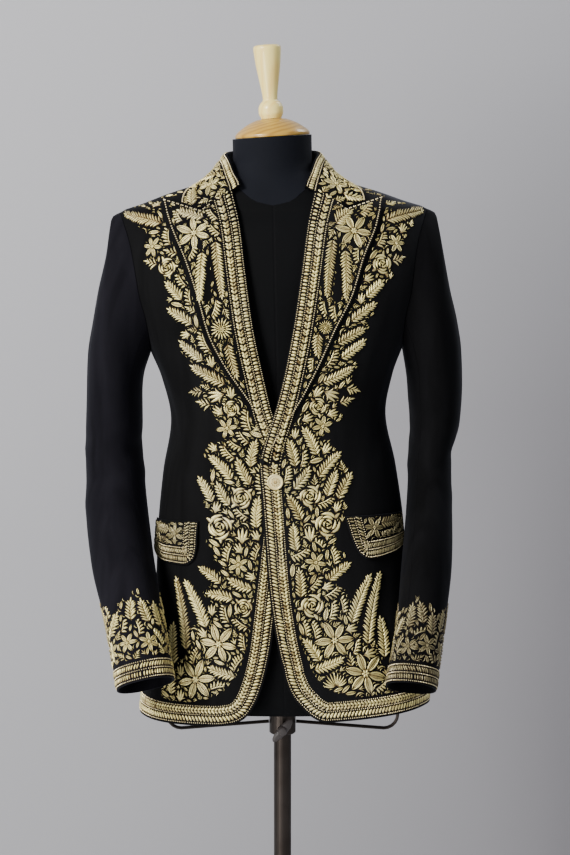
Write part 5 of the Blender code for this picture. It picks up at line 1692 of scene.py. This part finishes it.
LAPEL_MOTIFS = (
    ("star", 0.06, 0.332, 0.025, 0, 0), ("plume", 0.078, 0.322, 0.112, 163, 0.05),
    ("plume", 0.033, 0.318, 0.084, 180, -0.02), ("plume", 0.052, 0.304, 0.07, 176, 0.04),
    ("fern", 0.072, 0.35, 0.036, -40, 0), ("daisy", 0.0405, 0.196, 0.017, 0, 0),
    ("plume", 0.036, 0.174, 0.08, 174, 0.04), ("fern", 0.05, 0.359, 0.026, 30, 0),
    ("fern", 0.034, 0.338, 0.032, 6, 0), ("plume", 0.054, 0.222, 0.05, 168, 0.04),
    ("sprig", 0.0325, 0.092, 0.022, 178, 0),
)
COLLAR_MOTIFS = (
    ("star", 0.036, 0.174, 0.017, 0), ("fern", 0.022, 0.15, 0.036, -100), ("star", 0.034, 0.112, 0.015, 0),
    ("comb", 0.04, 0.186, 0.024, -120), ("fern", 0.022, 0.09, 0.034, -80),
    ("fan", 0.026, 0.066, 0.024, -70), ("star", 0.032, 0.03, 0.014, 0),
)
FLAP_MOTIFS = (
    ("star", 0.043, 0.042, 0.0155, 0), ("fern", 0.058, 0.047, 0.034, -84),
    ("fern", 0.058, 0.034, 0.036, -94), ("fern", 0.096, 0.046, 0.03, -84),
    ("fern", 0.096, 0.034, 0.028, -100),
)
CUFF_MOTIFS = (
    ("fern", 0.072, 0.076, 0.03, 4), ("fern", 0.046, 0.074, 0.028, -14), ("fern", 0.098, 0.07, 0.03, 16),
    ("fern", 0.014, 0.07, 0.03, 4), ("fern", -0.05, 0.072, 0.028, 10), ("fern", -0.1, 0.072, 0.028, -10),
    ("star", 0.06, 0.05, 0.014, 0), ("star", 0.092, 0.046, 0.014, 0), ("star", 0.026, 0.046, 0.015, 0),
    ("star", -0.03, 0.05, 0.014, 0), ("star", -0.08, 0.05, 0.014, 0), ("comb", 0.078, 0.031, 0.026, -70),
    ("comb", 0.04, 0.031, 0.026, -60), ("comb", 0.118, 0.04, 0.026, 20), ("comb", -0.01, 0.034, 0.026, -50),
)
# Sprays that fill what is free of a chart: kind, length, places tried
FRONT_FILL = (
    ("fern", 0.04, 500), ("comb", 0.026, 250), ("star", 0.014, 200), ("fern", 0.031, 700),
    ("bud", 0.019, 400), ("sprig", 0.024, 1200), ("blade", 0.018, 400), ("sprig", 0.018, 1600),
    ("curl", 0.015, 300), ("sprig", 0.0135, 1600), ("pair", 0.01, 1800), ("blade", 0.009, 900),
    ("pair", 0.007, 2600), ("curl", 0.0065, 1600), ("curl", 0.0045, 1600),
)
LAPEL_FILL = (
    ("plume", 0.036, 300), ("comb", 0.024, 100), ("plume", 0.027, 300), ("sprig", 0.02, 400),
    ("sprig", 0.014, 500), ("blade", 0.011, 500), ("pair", 0.009, 700), ("pair", 0.0065, 900),
    ("curl", 0.0055, 900), ("curl", 0.0042, 900),
)
COLLAR_FILL = (
    ("fern", 0.03, 300), ("fern", 0.024, 400), ("sprig", 0.019, 700), ("blade", 0.013, 800),
    ("pair", 0.009, 1400), ("curl", 0.007, 1200),
)
FLAP_FILL = (("sprig", 0.017, 300), ("blade", 0.011, 300), ("pair", 0.008, 500), ("curl", 0.006, 400))
CUFF_FILL = (
    ("fern", 0.03, 500), ("comb", 0.022, 200), ("fern", 0.024, 500), ("sprig", 0.018, 900),
    ("blade", 0.012, 900), ("pair", 0.009, 1500), ("curl", 0.007, 900),
)


class GoldWork:
    """The blazer's embroidery: generic sprays in this scene's own layout, and braids."""

    def __init__(self, blazer: Blazer) -> None:
        """Starts one set of stitches for each chart."""
        self.blazer = blazer
        self.motifs = Motifs(41)
        self.work: dict[str, tuple[Satin, Satin]] = {}

    def sets(self, name: str, chart: Chart) -> tuple[Satin, Satin]:
        """The leaves and the beads that go on a chart."""
        return self.work.setdefault(name, (Satin(chart), Satin(chart)))

    def motif(self, kind: str, size: float, curve: float = 0.0) -> list[Leaf]:
        """A motif of this kind and size."""
        if kind == "fern":
            width, pitch = (0.0195, 0.0049) if size > 0.05 else (0.017, 0.0046)
            return self.motifs.fern(size, width, pitch, curve)
        if kind == "plume":
            return self.motifs.fern(size, 0.0158, 0.0046, curve)
        return getattr(self.motifs, kind)(size)

    def fill(self, zone: Zone, satin: Satin, lean: Callable[[float, float], float],
             sizes: Sequence[tuple[str, float, int]], loose: float = 40.0) -> None:
        """Fills what is free of a zone with smaller and smaller sprays.

        Args:
            zone: The patch, with its chief motifs already placed.
            satin: Where the stitches go.
            lean: The direction of growth at a place, in degrees from the chart's up.
            sizes: Kinds of spray with their lengths and how many places are tried.
            loose: How far a spray may turn from that direction.
        """
        rng = self.motifs.rng
        bends = (-0.2, 0.1, 0.2, -0.1, 0.15, -0.15, 0.05, 0.2, -0.05)
        for kind, length, tries in sizes:
            shares = zip(np.linspace(0.84, 1.14, len(bends)), bends)
            forms = [self.motif(kind, length * share, bend) for share, bend in shares]
            middles = [covered(leaves).mean(0) for leaves in forms]
            forms = [turned_leaves(leaves, -x, -y, 0) for leaves, (x, y) in zip(forms, middles)]
            spreads = [covered(leaves) for leaves in forms]
            room = 0.3 * float(np.ptp(spreads[4], axis=0).min())
            for _ in range(PACKING_ROUNDS):
                rows, columns = zone.roomy(room)
                if not len(rows):
                    break
                for pick in rng.integers(len(rows), size=tries // PACKING_ROUNDS):
                    if not zone.open[rows[pick], columns[pick]]:
                        continue
                    x, y = zone.low + zone.cell * np.array((columns[pick], rows[pick]))
                    which = int(rng.integers(len(forms)))
                    for _ in range(3):
                        turn = lean(x, y) + float(rng.uniform(-loose, loose))
                        c, s = toward(turn)
                        if zone.take(spreads[which] @ np.array(((c, s), (-s, c))) + (x, y)):
                            satin.lay(x, y, forms[which], turn)
                            break

    @staticmethod
    def group(k: int, size: float, odd: float) -> Sequence[tuple[str, float, float, float, float]]:
        """The motifs at one place beside a lapel: kind, out, up, size and turn."""
        if k in (1, 8):
            return ("rose", 0.024, 0.0, 0.0155, 0), ("sprig", size * 0.66, 0.004, 0.024, -80)
        if k % 3 == 0:
            return (("star", size * 0.52, 0.0, 0.015, 0),
                    ("fern", size * 0.4, 0.011, size * 0.62, -52 + 14 * odd),
                    ("fern", size * 0.38, -0.008, size * 0.6, -112 + 12 * odd))
        if k % 3 == 1:
            return (("fern", 0.008, 0.004, size * (0.9 + 0.08 * odd), -80 + 12 * odd),
                    ("comb", 0.016, -0.01, 0.026, -120))
        return (("fern", 0.014, 0.006, size * (0.7 + 0.1 * odd), -62 + 12 * odd),
                ("bud", 0.018, -0.008, 0.026, -104), ("sprig", size * 0.62, -0.004, 0.026, -100 + 20 * odd))

    def put(self, zone: Zone, satin: Satin, kind: str, x: float, y: float, size: float, turn: float = 0.0,
            curve: float = 0.0) -> None:
        """Stitches one chief motif, turned and shortened a little where it would cross another."""
        for share in (1.0, 0.93, 0.86, 0.78, 0.7, 0.6):
            leaves = self.motif(kind, size * share, curve)
            for aside in (0, 4, -4, 8, -8, 13, -13):
                placed = turned_leaves(leaves, x, y, turn + aside)
                if zone.take(covered(placed)):
                    satin.lay(x, y, leaves, turn + aside)
                    return

    def front(self, side: Side) -> None:
        """A front's sprays: beside the lapel, below the break and on the skirt."""
        satin, _ = self.sets(f"front_{side.word}", BodyChart(side))
        own = side.pick((-0.01, 0.004))
        heights = np.linspace(0.7, 1.43, 150)
        lapels = side.pick(coat.lapels(np.clip(heights, 1.0441, PEAK)))
        shown = np.maximum(coat.edge(side, heights), -0.028) + BORDER_REACH(np.clip(heights, 0.712, 1.09))
        beside = np.maximum(lapels + 0.005 + 0.004 * (heights < 1.12), np.where(heights < 1.06, shown, -1))
        inner = np.where(heights > 1.044, beside, shown) + np.where(heights > 1.4, 3.0 * (1.4 - heights), 0)
        starts = coat.arc_at(inner, heights)
        upper = starts + UPPER_REACH(np.clip(heights, 1.06, 1.43))
        free = np.where(heights < BAND_TOP, BAND_REACH(heights) + own, upper)
        armhole = armhole_reach(np.clip(heights, ARMHOLE_BOTTOM, SHOULDER_TIP), False)
        sleeve = coat.arc_of(90 - armhole, heights)
        ends = np.where(heights > ARMHOLE_BOTTOM, np.minimum(free, sleeve - 0.003), free)

        def inside(x: Array, y: Array) -> Array:
            """Whether places are in the band from the border or lapel outward."""
            ragged = 0.004 * np.sin(y * 310 + x * 60) * np.sin(y * 127)
            return ((y > 0.7135) & (y < 1.428) & (x > np.interp(y, heights, starts))
                    & (x < np.interp(y, heights, ends) + ragged))

        zone = Zone((-0.01, 0.7), (0.27, 1.432), inside)
        for kind, x, y, size, turn in FRONT_MOTIFS:
            shift = side.pick((0.003, -0.002)) * math.sin(70 * y)
            self.put(zone, satin, kind, x + own + shift, y, size, turn, 0.12 if turn < 0 else -0.12)
        for k, y in enumerate(np.linspace(1.094, 1.396, 12)):
            start = float(np.interp(y, heights, starts))
            odd = math.sin(5.1 * k + side.pick((1.0, 2.2)))
            for kind, out, up, size, turn in self.group(k, float(UPPER_REACH(y)), odd):
                self.put(zone, satin, kind, start + out, y + up, size, turn, 0.12 * odd)

        def between(x: Array, y: Array) -> Array:
            """Whether places are near enough to the border or lapel to be filled."""
            ragged = 0.007 * np.sin(y * 97 + 1.3 * side.value) + 0.004 * np.sin(y * 263)
            begin, end = np.interp(y, heights, starts), np.interp(y, heights, ends)
            return x < np.where(y < BAND_TOP, FILL_REACH(y) + own, begin + (end - begin) * 0.66) + ragged

        zone.narrow(between)
        self.fill(zone, satin, lambda x, y: -34.0 - 24 * (y > 1.08), FRONT_FILL, 55.0)

    def lapel(self, side: Side) -> None:
        """A lapel's face: ferns, a flower by the notch and a full one at its middle."""
        chart = self.blazer.lapels[side]
        satin, beads = self.sets(f"lapel_{side.word}", chart)
        roll = Line([(-0.0028, 0.3775 - k * 0.004) for k in range(94)])
        edge = Line([(float(chart.width(k * 0.004)) - 0.0004, k * 0.004) for k in range(4, 95)])
        wide = float(chart.width(0.376))
        top = Line([(wide * (1 - s) + 0.028 * s, 0.3775) for s in np.linspace(0, 1, 40)])
        for line, rows in ((roll, ROLL), (edge, CORD), (top, CORD)):
            braid(satin, beads, line, rows, self.motifs)
        zone = Zone((0.02, 0.04), (0.14, LAPEL_LENGTH), lambda x, y: (
            (x > 0.024) & (x < chart.width(y) - 0.0052) & (y > 0.055) & (y < 0.3735)))
        for row in LAPEL_MOTIFS:
            self.put(zone, satin, *row)
        self.fill(zone, satin, lambda x, y: 170.0 if y < 0.33 else -60.0, LAPEL_FILL, 30.0)

    def collar(self) -> None:
        """The collar: a chevron braid at the fold and satin leaves over the fall."""
        chart = self.blazer.collar
        satin, beads = self.sets("collar", chart)
        fold = Line([(-0.0022, y) for y in np.linspace(0.2048, -0.2048, 200)])
        braid(satin, beads, fold, ROLL[:3], self.motifs)

        def width(y: Array) -> Array:
            """How wide the fall is here."""
            return chart.fall_width(np.asarray(y) / COLLAR_LENGTH)

        outer = Line([(float(width(y)) - 0.001, y) for y in np.linspace(-0.2045, 0.2045, 200)])
        braid(satin, beads, outer, CORD, self.motifs)
        zone = Zone((0.01, -0.206), (0.11, 0.206), lambda x, y: (
            (x > 0.0118) & (x < width(np.clip(y, *chart.reach)) - 0.0044) & (np.abs(y) < 0.2046)))
        for sign in (1, -1):
            for kind, x, y, size, turn in COLLAR_MOTIFS:
                self.put(zone, satin, kind, x, y * sign, size, turn * sign)
        self.fill(zone, satin, lambda x, y: -90.0 - 50 * (y > 0) + 25, COLLAR_FILL, 60.0)

    def flap(self, side: Side) -> None:
        """A pocket flap: braid on its fore end and bottom, a flower and ferns."""
        satin, beads = self.sets(f"flap_{side.word}", self.blazer.flaps[side])
        down = [(0.0, FLAP_HEIGHT - 0.001 - k * 0.003) for k in range(15)]
        bends = np.linspace(0, math.pi / 2, 12)
        corner = [(0.012 - 0.012 * math.cos(a), 0.012 - 0.012 * math.sin(a)) for a in bends]
        back = [(0.014 + k * 0.004, 0.0) for k in range(29)]
        braid(satin, beads, Line(down + corner + back), NARROW, self.motifs)
        zone = Zone((0.0, 0.0), (0.132, FLAP_HEIGHT + 0.002), lambda x, y: (
            (x > 0.0262) & (x < 0.1275) & (y > 0.0262) & (y < FLAP_HEIGHT - 0.0015)))
        for row in FLAP_MOTIFS:
            self.put(zone, satin, *row)
        self.fill(zone, satin, lambda x, y: -80.0, FLAP_FILL, 60.0)

    def cuff(self, side: Side) -> None:
        """A cuff: two rows of braid round it and thick sprigs with a spiky top."""
        chart = self.blazer.sleeves[side]
        satin, beads = self.sets(f"cuff_{side.word}", chart)
        half = math.pi * chart.radius
        braid(satin, beads, Line([(x, 0.0) for x in np.linspace(-half, half, 300)]), NARROW, self.motifs)

        def inside(x: Array, y: Array) -> Array:
            """Whether places are between the braid and the spiky top."""
            top = 0.103 + 0.008 * np.sin(x * 88 + 0.6) + 0.004 * np.sin(x * 231)
            return (y > 0.0272) & (y < top) & (np.abs(x) < half - 0.001)

        zone = Zone((-half, 0.02), (half, 0.116), inside)
        for row in CUFF_MOTIFS:
            self.put(zone, satin, *row, 0.1)
        self.fill(zone, satin, lambda x, y: 5.0, CUFF_FILL, 50.0)

    def borders(self, side: Side) -> None:
        """The braid down a front's edge, round its corner and along the hem."""
        satin, beads = self.sets(f"border_{side.word}", BodyChart(side))
        heights = np.linspace(1.0448, HEM + 0.0004, 130)
        down = [(float(coat.arc_at(coat.edge(side, y), y)), y) for y in heights]
        last = float(coat.arc_of(180.0, HEM))
        hem = [(x, HEM + 0.0002) for x in np.linspace(down[-1][0] + 0.002, last - 0.001, 260)]
        braid(satin, beads, Line(down + hem), BORDER, self.motifs)

    def build(self, thread: Material, bead: Material, shaded_threads: dict[str, Material]) -> None:
        """Works out every chart's stitches and makes their pieces."""
        for side in Side:
            for work in (self.borders, self.front, self.lapel, self.flap, self.cuff):
                work(side)
        self.collar()
        total = 0
        for name, (satin, beads) in self.work.items():
            # Charts that stand in shadow take a darker copy of the thread, with painted shade.
            total += satin.build("gold_" + name, shaded_threads.get(name, thread))
            if beads.rows:
                total += beads.build("beads_" + name, bead, across=2, along=4)
        log.info("gold work: %d triangles in all", total)


def lathe(name: str, profile: Sequence[tuple[float, float]], steps: int, fine: int = 1) -> Mesh:
    """A turned piece.

    Args:
        name: The mesh's name.
        profile: Radius and height from the top of the axis to its bottom.
        steps: Faces round.
        fine: Parts that each stretch of the profile is cut into.

    Returns:
        The mesh about the Z axis.
    """
    places = np.arange(len(profile))
    at = np.linspace(0, places[-1], places[-1] * fine + 1)
    across, up = (Curve(places, column)(at) for column in zip(*profile))
    form = bmesh.new()
    line = [form.verts.new((radius, 0, height)) for radius, height in zip(across, up)]
    edges = [form.edges.new(pair) for pair in zip(line, line[1:])]
    bmesh.ops.spin(form, geom=line + edges, axis=(0, 0, 1), cent=(0, 0, 0), steps=steps,
                   angle=2 * math.pi, use_merge=True)
    bmesh.ops.remove_doubles(form, verts=form.verts, dist=1e-6)
    bmesh.ops.recalc_face_normals(form, faces=form.faces)
    return meshed(form, name)


# Turned profiles, from the top down: radius and height
CAP_PROFILE = (
    (0.0, 0.0245), (0.015, 0.0245), (0.03, 0.02), (0.042, 0.013), (0.0495, 0.007), (0.052, 0.0035),
    (0.052, 0.001), (0.051, 0.0), (0.0, 0.0),
)
FINIAL_PROFILE = (
    (0.0, 0.1022), (0.015, 0.101), (0.0186, 0.099), (0.0192, 0.0955), (0.0175, 0.077), (0.0138, 0.053),
    (0.0104, 0.031), (0.0102, 0.026), (0.0145, 0.021), (0.0172, 0.014), (0.0172, 0.008), (0.015, 0.0025),
    (0.0135, 0.0), (0.0, 0.0),
)
# Buttons, from the top down: shares of the radius and of the thickness
FRONT_PROFILE = (
    (0.0, 0.8), (0.45, 0.76), (0.74, 0.66), (0.8, 0.7), (0.86, 0.97), (0.92, 1.0), (0.98, 0.86),
    (1.0, 0.62), (0.88, 0.34), (0.35, 0.3), (0.3, 0.0), (0.0, 0.0),
)
CUFF_PROFILE = (
    (0.0, 1.0), (0.45, 0.97), (0.8, 0.86), (0.96, 0.74), (1.0, 0.6), (0.9, 0.5), (0.36, 0.44), (0.36, 0.0),
    (0.0, 0.0),
)


@dataclass
class DressForm:
    """The limbless form: torso, neck, wooden cap and finial."""

    sides: int = 96
    bottom: float = 0.6865
    neck_top: float = 1.486
    bore: float = 0.014
    bore_top: float = 1.13
    rest: float = 0.001
    cap_place: tuple = (-0.0137, 0.0, 1.4878)
    cap_tilt: float = math.radians(-3.6)
    cap_height: float = 0.0245
    torso_top: float = 1.3845

    def surface(self, angle: Array, height: Array) -> Array:
        """The form's surface, which meets the coat's inside along the shoulders."""
        free = coat.section(coat.form, angle, height)
        contact = ramp(1.388, 1.3985, height) * (1 - ramp(1.422, 1.431, height))
        held = coat.point(angle, height, -CLOTH - self.rest)
        return free + (held - free) * contact[..., None]

    def settle(self, point: Array) -> Array:
        """The form leans with the coat, but its bottom is cut level."""
        moved = settle(point)
        level = 1 - ramp(self.bottom, self.bottom + 0.25, point[..., 2])
        moved[..., 2] += (point[..., 2] - moved[..., 2]) * level
        return moved

    @staticmethod
    def seam(angle: Array) -> Array:
        """The height of the seam between torso and neck."""
        return Table(NECK_SEAM)(np.abs(turned(angle)))[0]

    def rings(self, name: str, rings: list[Array]) -> Mesh:
        """A closed skin through rings of points."""
        grid = np.stack(rings)
        form = bmesh.new()
        bmesh.ops.create_grid(form, x_segments=self.sides, y_segments=len(rings) - 1, size=1.0)
        for vertex in form.verts:
            k = round((vertex.co.x + 1) / 2 * self.sides) % self.sides
            vertex.co = grid[round((vertex.co.y + 1) / 2 * (len(rings) - 1)), k]
        bmesh.ops.remove_doubles(form, verts=form.verts, dist=1e-6)
        bmesh.ops.holes_fill(form, edges=form.edges, sides=0)
        bmesh.ops.recalc_face_normals(form, faces=form.faces)
        return meshed(form, name)

    def torso(self) -> Mesh:
        """The torso, with the bore for the pole in its flat bottom."""
        angle = np.arange(self.sides) * 360.0 / self.sides
        x, y = self.bore * np.sin(np.radians(angle)), self.bore * -np.cos(np.radians(angle))
        rings = [stack(x, y, self.bore_top), stack(x, y, self.bottom)]
        near = self.bottom + np.array((0, 0.002, 0.005, 0.009, 0.014))
        for height in (*near, *np.linspace(self.bottom + 0.02, self.torso_top, 60)):
            tuck = 1 - 0.048 * (1 - ramp(self.bottom, self.bottom + 0.012, height))
            ring = coat.section(coat.form, angle, height) * np.array((tuck, tuck, 1))
            rings.append(self.settle(ring))
        top = self.seam(angle) - GAP
        for share in np.linspace(0.05, 1, 20):
            rings.append(self.settle(self.surface(angle, self.torso_top + (top - self.torso_top) * share)))
        return self.rings("form_torso_jersey", rings)

    def neck(self) -> Mesh:
        """The neck, up to the sloping underside of the cap."""
        angle = np.arange(self.sides) * 360.0 / self.sides
        seam, rings = self.seam(angle) + GAP, []
        top = settle(self.surface(angle, 0 * angle + self.neck_top))
        level = self.cap_place[2] - math.tan(self.cap_tilt) * (top[:, 0] - self.cap_place[0]) - GAP
        for share in np.linspace(0, 1, 26):
            point = settle(self.surface(angle, seam + (self.neck_top - seam) * share))
            point[:, 2] += (level - top[:, 2]) * share**2
            rings.append(point)
        return self.rings("form_neck_jersey", rings)

    def build(self, torso: Material, neck: Material, cap: Material, finial: Material) -> None:
        """Makes the form's four pieces in their nodes' stead."""
        place = Matrix.Translation(self.cap_place) @ Matrix.Rotation(self.cap_tilt, 4, "Y")
        disc = lathe("neck_cap_wood", CAP_PROFILE, 96, 3)
        knob = lathe("finial_wood", FINIAL_PROFILE, 72, 4)
        disc.transform(place)
        knob.transform(place @ Matrix.Translation((0, 0, self.cap_height + GAP)))
        for node, mesh, finish, slot in (
            ("form_torso", self.torso(), torso, "form_jersey"),
            ("form_neck", self.neck(), neck, "neck_jersey"),
            ("neck_cap", disc, cap, "cap_wood"), ("finial", knob, finial, "finial_wood"),
        ):
            piece_of(mesh, finish, slot, 35.0, node)
            log.info("%s: %d faces", mesh.name, len(mesh.polygons))


@dataclass
class Buttons:
    """The front button with its rosette, and the small cuff buttons."""

    radius: float = 0.011
    thick: float = 0.0034
    cuff_radius: float = 0.0056
    cuff_thick: float = 0.003

    @staticmethod
    def stance(node: str) -> tuple[Vector, Vector]:
        """A button node's foot and the way that it faces, from its flattest direction."""
        spots = np.array([vertex.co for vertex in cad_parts[node].data.vertices])
        middle = spots.mean(0)
        away = np.linalg.svd(spots - middle)[2][2]
        away = -away if away[1] > 0 else away
        return Vector(middle + ((spots - middle) @ away).min() * away), Vector(away)

    def build(self, metal: Material, carved: Material) -> None:
        """Makes each button in its node's stead, and the front one's rosette."""
        nodes = [f"cuff_button_{side.word}_{k}" for side in Side for k in range(1, 5)]
        for node, radius, thick, profile, steps in (
            ("front_button", self.radius, self.thick, FRONT_PROFILE, 48),
            *((node, self.cuff_radius, self.cuff_thick, CUFF_PROFILE, 28) for node in nodes),
        ):
            foot, way = self.stance(node)
            mesh = lathe(node + "_metal", [(radius * a, thick * b) for a, b in profile], steps, 2)
            turn = Vector((0, 0, 1)).rotation_difference(way).to_matrix().to_4x4()
            mesh.transform(Matrix.Translation(foot) @ turn)
            piece_of(mesh, metal, "button_metal", 40.0, node)
            if node == "front_button":
                work = Satin(DiscChart(foot + way * thick * 0.66, way, thick * 0.14, radius * 0.74))
                work.lay(0, 0, Motifs.heart(radius * 0.34, radius * 0.17, 0.0011, 0.8, 0.6, 60))
                long, wide = radius * 0.3, radius * 0.13
                work.lay(0, 0, [leaf(*toward(angle, radius * 0.42), angle + 60, long, wide, 0.2, 0.001, 0.7,
                                     0.6) for angle in range(0, 360, 30)])
                work.build("front_button_rosette", carved, "button_metal")
        log.info("buttons: %d", len(nodes) + 1)


class Studio:
    """The plain floor and wall, the soft lights and the camera."""

    def build(self) -> None:
        """Makes the stage, the lights, the sky and the camera."""
        floor = BackdropFinish("floor_paper", rgb(0.5, 0.51, 0.526), rgb(0.428, 0.428, 0.444), False)
        wall = BackdropFinish("wall_paper", rgb(0.484, 0.484, 0.51), rgb(0.27, 0.264, 0.282), True)
        for name, place, turn, finish in (
            ("floor", (0, -1.8, 0), 0.0, floor), ("wall", (0, 1.2, 1.0), math.pi / 2, wall),
        ):
            form = bmesh.new()
            bmesh.ops.create_grid(form, x_segments=8, y_segments=8, size=3.0)
            bmesh.ops.rotate(form, verts=form.verts, cent=(0, 0, 0), matrix=Matrix.Rotation(turn, 3, "X"))
            bmesh.ops.translate(form, verts=form.verts, vec=place)
            mesh = meshed(form, name)
            mesh.materials.append(finish.material())
            linked(name, mesh)
        for name, place, size, power, colour in (
            ("key", (-2.5, -2.5, 2.9), 1.5, 244.0, (1.0, 0.98, 0.95)),
            ("fill", (2.6, -2.6, 1.5), 2.0, 12.0, (0.93, 0.96, 1.0)),
            ("low", (-2.0, -3.0, 0.6), 1.2, 52.0, (1.0, 0.97, 0.93)),
            ("back", (1.2, 0.9, 2.6), 0.9, 17.0, (0.95, 0.97, 1.0)),
        ):
            lamp = bpy.data.lights.new(name, "AREA")
            lamp.shape, lamp.size, lamp.energy, lamp.color = "DISK", size, power, colour
            made = linked(name, lamp)
            made.location = place
            made.rotation_euler = (Vector((0, 0, 1.05)) - Vector(place)).to_track_quat("-Z", "Y").to_euler()
        world = bpy.data.worlds.new("studio")
        world.use_nodes = True
        sky = world.node_tree.nodes["Background"].inputs
        sky["Color"].default_value = rgb(0.8, 0.83, 0.88)
        sky["Strength"].default_value = 0.378
        bpy.context.scene.world = world
        lens = bpy.data.cameras.new("camera")
        lens.lens, lens.sensor_width, lens.sensor_fit = 90.0, 36.0, "AUTO"
        camera = linked("camera", lens)
        camera.location = (0.0036, -3.0, 1.48)
        camera.rotation_euler = (math.radians(90 - 7.6), 0, 0)
        bpy.context.scene.camera = camera


def dress_fittings(steel: Material, plastic: Material) -> None:
    """Gives the stand's own nodes their metal and plastic."""
    for node, finish in (("socket", steel), ("pole", steel), ("base", steel), ("rod_left", steel),
                         ("rod_right", steel), ("clamp_screw", plastic)):
        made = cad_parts[node]
        made.data.materials.clear()
        made.data.materials.append(finish)


def main() -> None:
    """Builds the studio, the form, the coat and its gold work, in that order."""
    logging.basicConfig(level=logging.INFO, format="%(message)s")
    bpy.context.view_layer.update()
    Studio().build()
    cap, knob = (-0.03, 0.0, 1.5), (-0.05, 0.03, 1.56)
    DressForm().build(*(finish.material() for finish in (
        JerseyFinish("torso_jersey", rgb(0.0004, 0.0005, 0.0007), rgb(0.0012, 0.0014, 0.002), True),
        JerseyFinish("neck_jersey", rgb(0.0038, 0.0044, 0.0072), rgb(0.007, 0.0082, 0.0124), False),
        WoodFinish("cap_wood", rgb(0.57, 0.335, 0.05), rgb(0.35, 0.18, 0.022), 900.0, cap),
        WoodFinish("finial_wood", rgb(1.0, 0.83, 0.28), rgb(0.92, 0.66, 0.19), 700.0, knob),
    )))
    # Copies of the velvet with light and shade painted into them: a lighter one for the wearer's right
    # sleeve, a darker one for the left sleeve, the right lapel and the collar, and one with a lighter base
    # and less shine for the wearer's right front, side and flap.
    plain, bright, deep, shaded_velvet = (finish.material() for finish in (
        VelvetFinish("velvet", rgb(0.0012, 0.0012, 0.0013), rgb(0.005, 0.005, 0.0058), 0.082, 0.12),
        VelvetFinish("velvet_bright", rgb(0.003, 0.0028, 0.0042), rgb(0.01, 0.0095, 0.0132), 0.056, 0.05),
        VelvetFinish("velvet_deep", rgb(0.002, 0.002, 0.0021), rgb(0.0062, 0.0062, 0.0067), 0.052, 0.05),
        VelvetFinish("velvet_dim", rgb(0.0009, 0.0009, 0.0011), rgb(0.004, 0.0039, 0.0048), 0.045, 0.07),
    ))
    blazer = Blazer()
    blazer.build(plain, {
        "top_sleeve_right": bright, "under_sleeve_right": bright, "top_sleeve_left": shaded_velvet,
        "under_sleeve_left": shaded_velvet, "front_right": deep, "side_right": deep, "lapel_right": shaded_velvet, "collar": shaded_velvet,
        "pocket_flap_right": deep,
    })
    # Darker copies of the thread with painted shade, for the wearer's left cuff and both flaps, which stand
    # in shadow.
    gold, beading, shaded, painted_shade_thread = (finish.material() for finish in (
        ThreadFinish("gold_thread"),
        ThreadFinish("gold_beads", rgb(1.0, 0.88, 0.54), rgb(0.4, 0.3, 0.13), metallic=0.3),
        ThreadFinish("gold_shaded", rgb(0.34, 0.295, 0.15), rgb(0.052, 0.032, 0.01), rgb(0.2, 0.13, 0.053),
                     rgb(0.28, 0.26, 0.17)),
        ThreadFinish("gold_faded", rgb(0.5, 0.435, 0.215), rgb(0.066, 0.041, 0.013), rgb(0.28, 0.18, 0.073),
                     rgb(0.4, 0.37, 0.24)),
    ))
    GoldWork(blazer).build(gold, beading, {"cuff_left": shaded, "flap_right": painted_shade_thread, "flap_left": painted_shade_thread})
    even, clear = (300, 300, 300), (40, 40, 40)
    gilt, carving, steel, plastic = (finish.material() for finish in (
        MetalFinish("button_gilt", rgb(1.0, 0.88, 0.46), rgb(0.9, 0.68, 0.28), 0.22, even, 0.5),
        MetalFinish("button_carving", rgb(0.6, 0.46, 0.22), rgb(0.42, 0.3, 0.13), 0.3, even),
        MetalFinish("stand_steel", rgb(0.066, 0.055, 0.049), rgb(0.033, 0.026, 0.022), 0.3),
        MetalFinish("knob_plastic", rgb(0.085, 0.072, 0.07), rgb(0.045, 0.038, 0.036), 0.22, clear, 0.0),
    ))
    Buttons().build(gilt, carving)
    dress_fittings(steel, plastic)


if __name__ == "__main__":
    main()
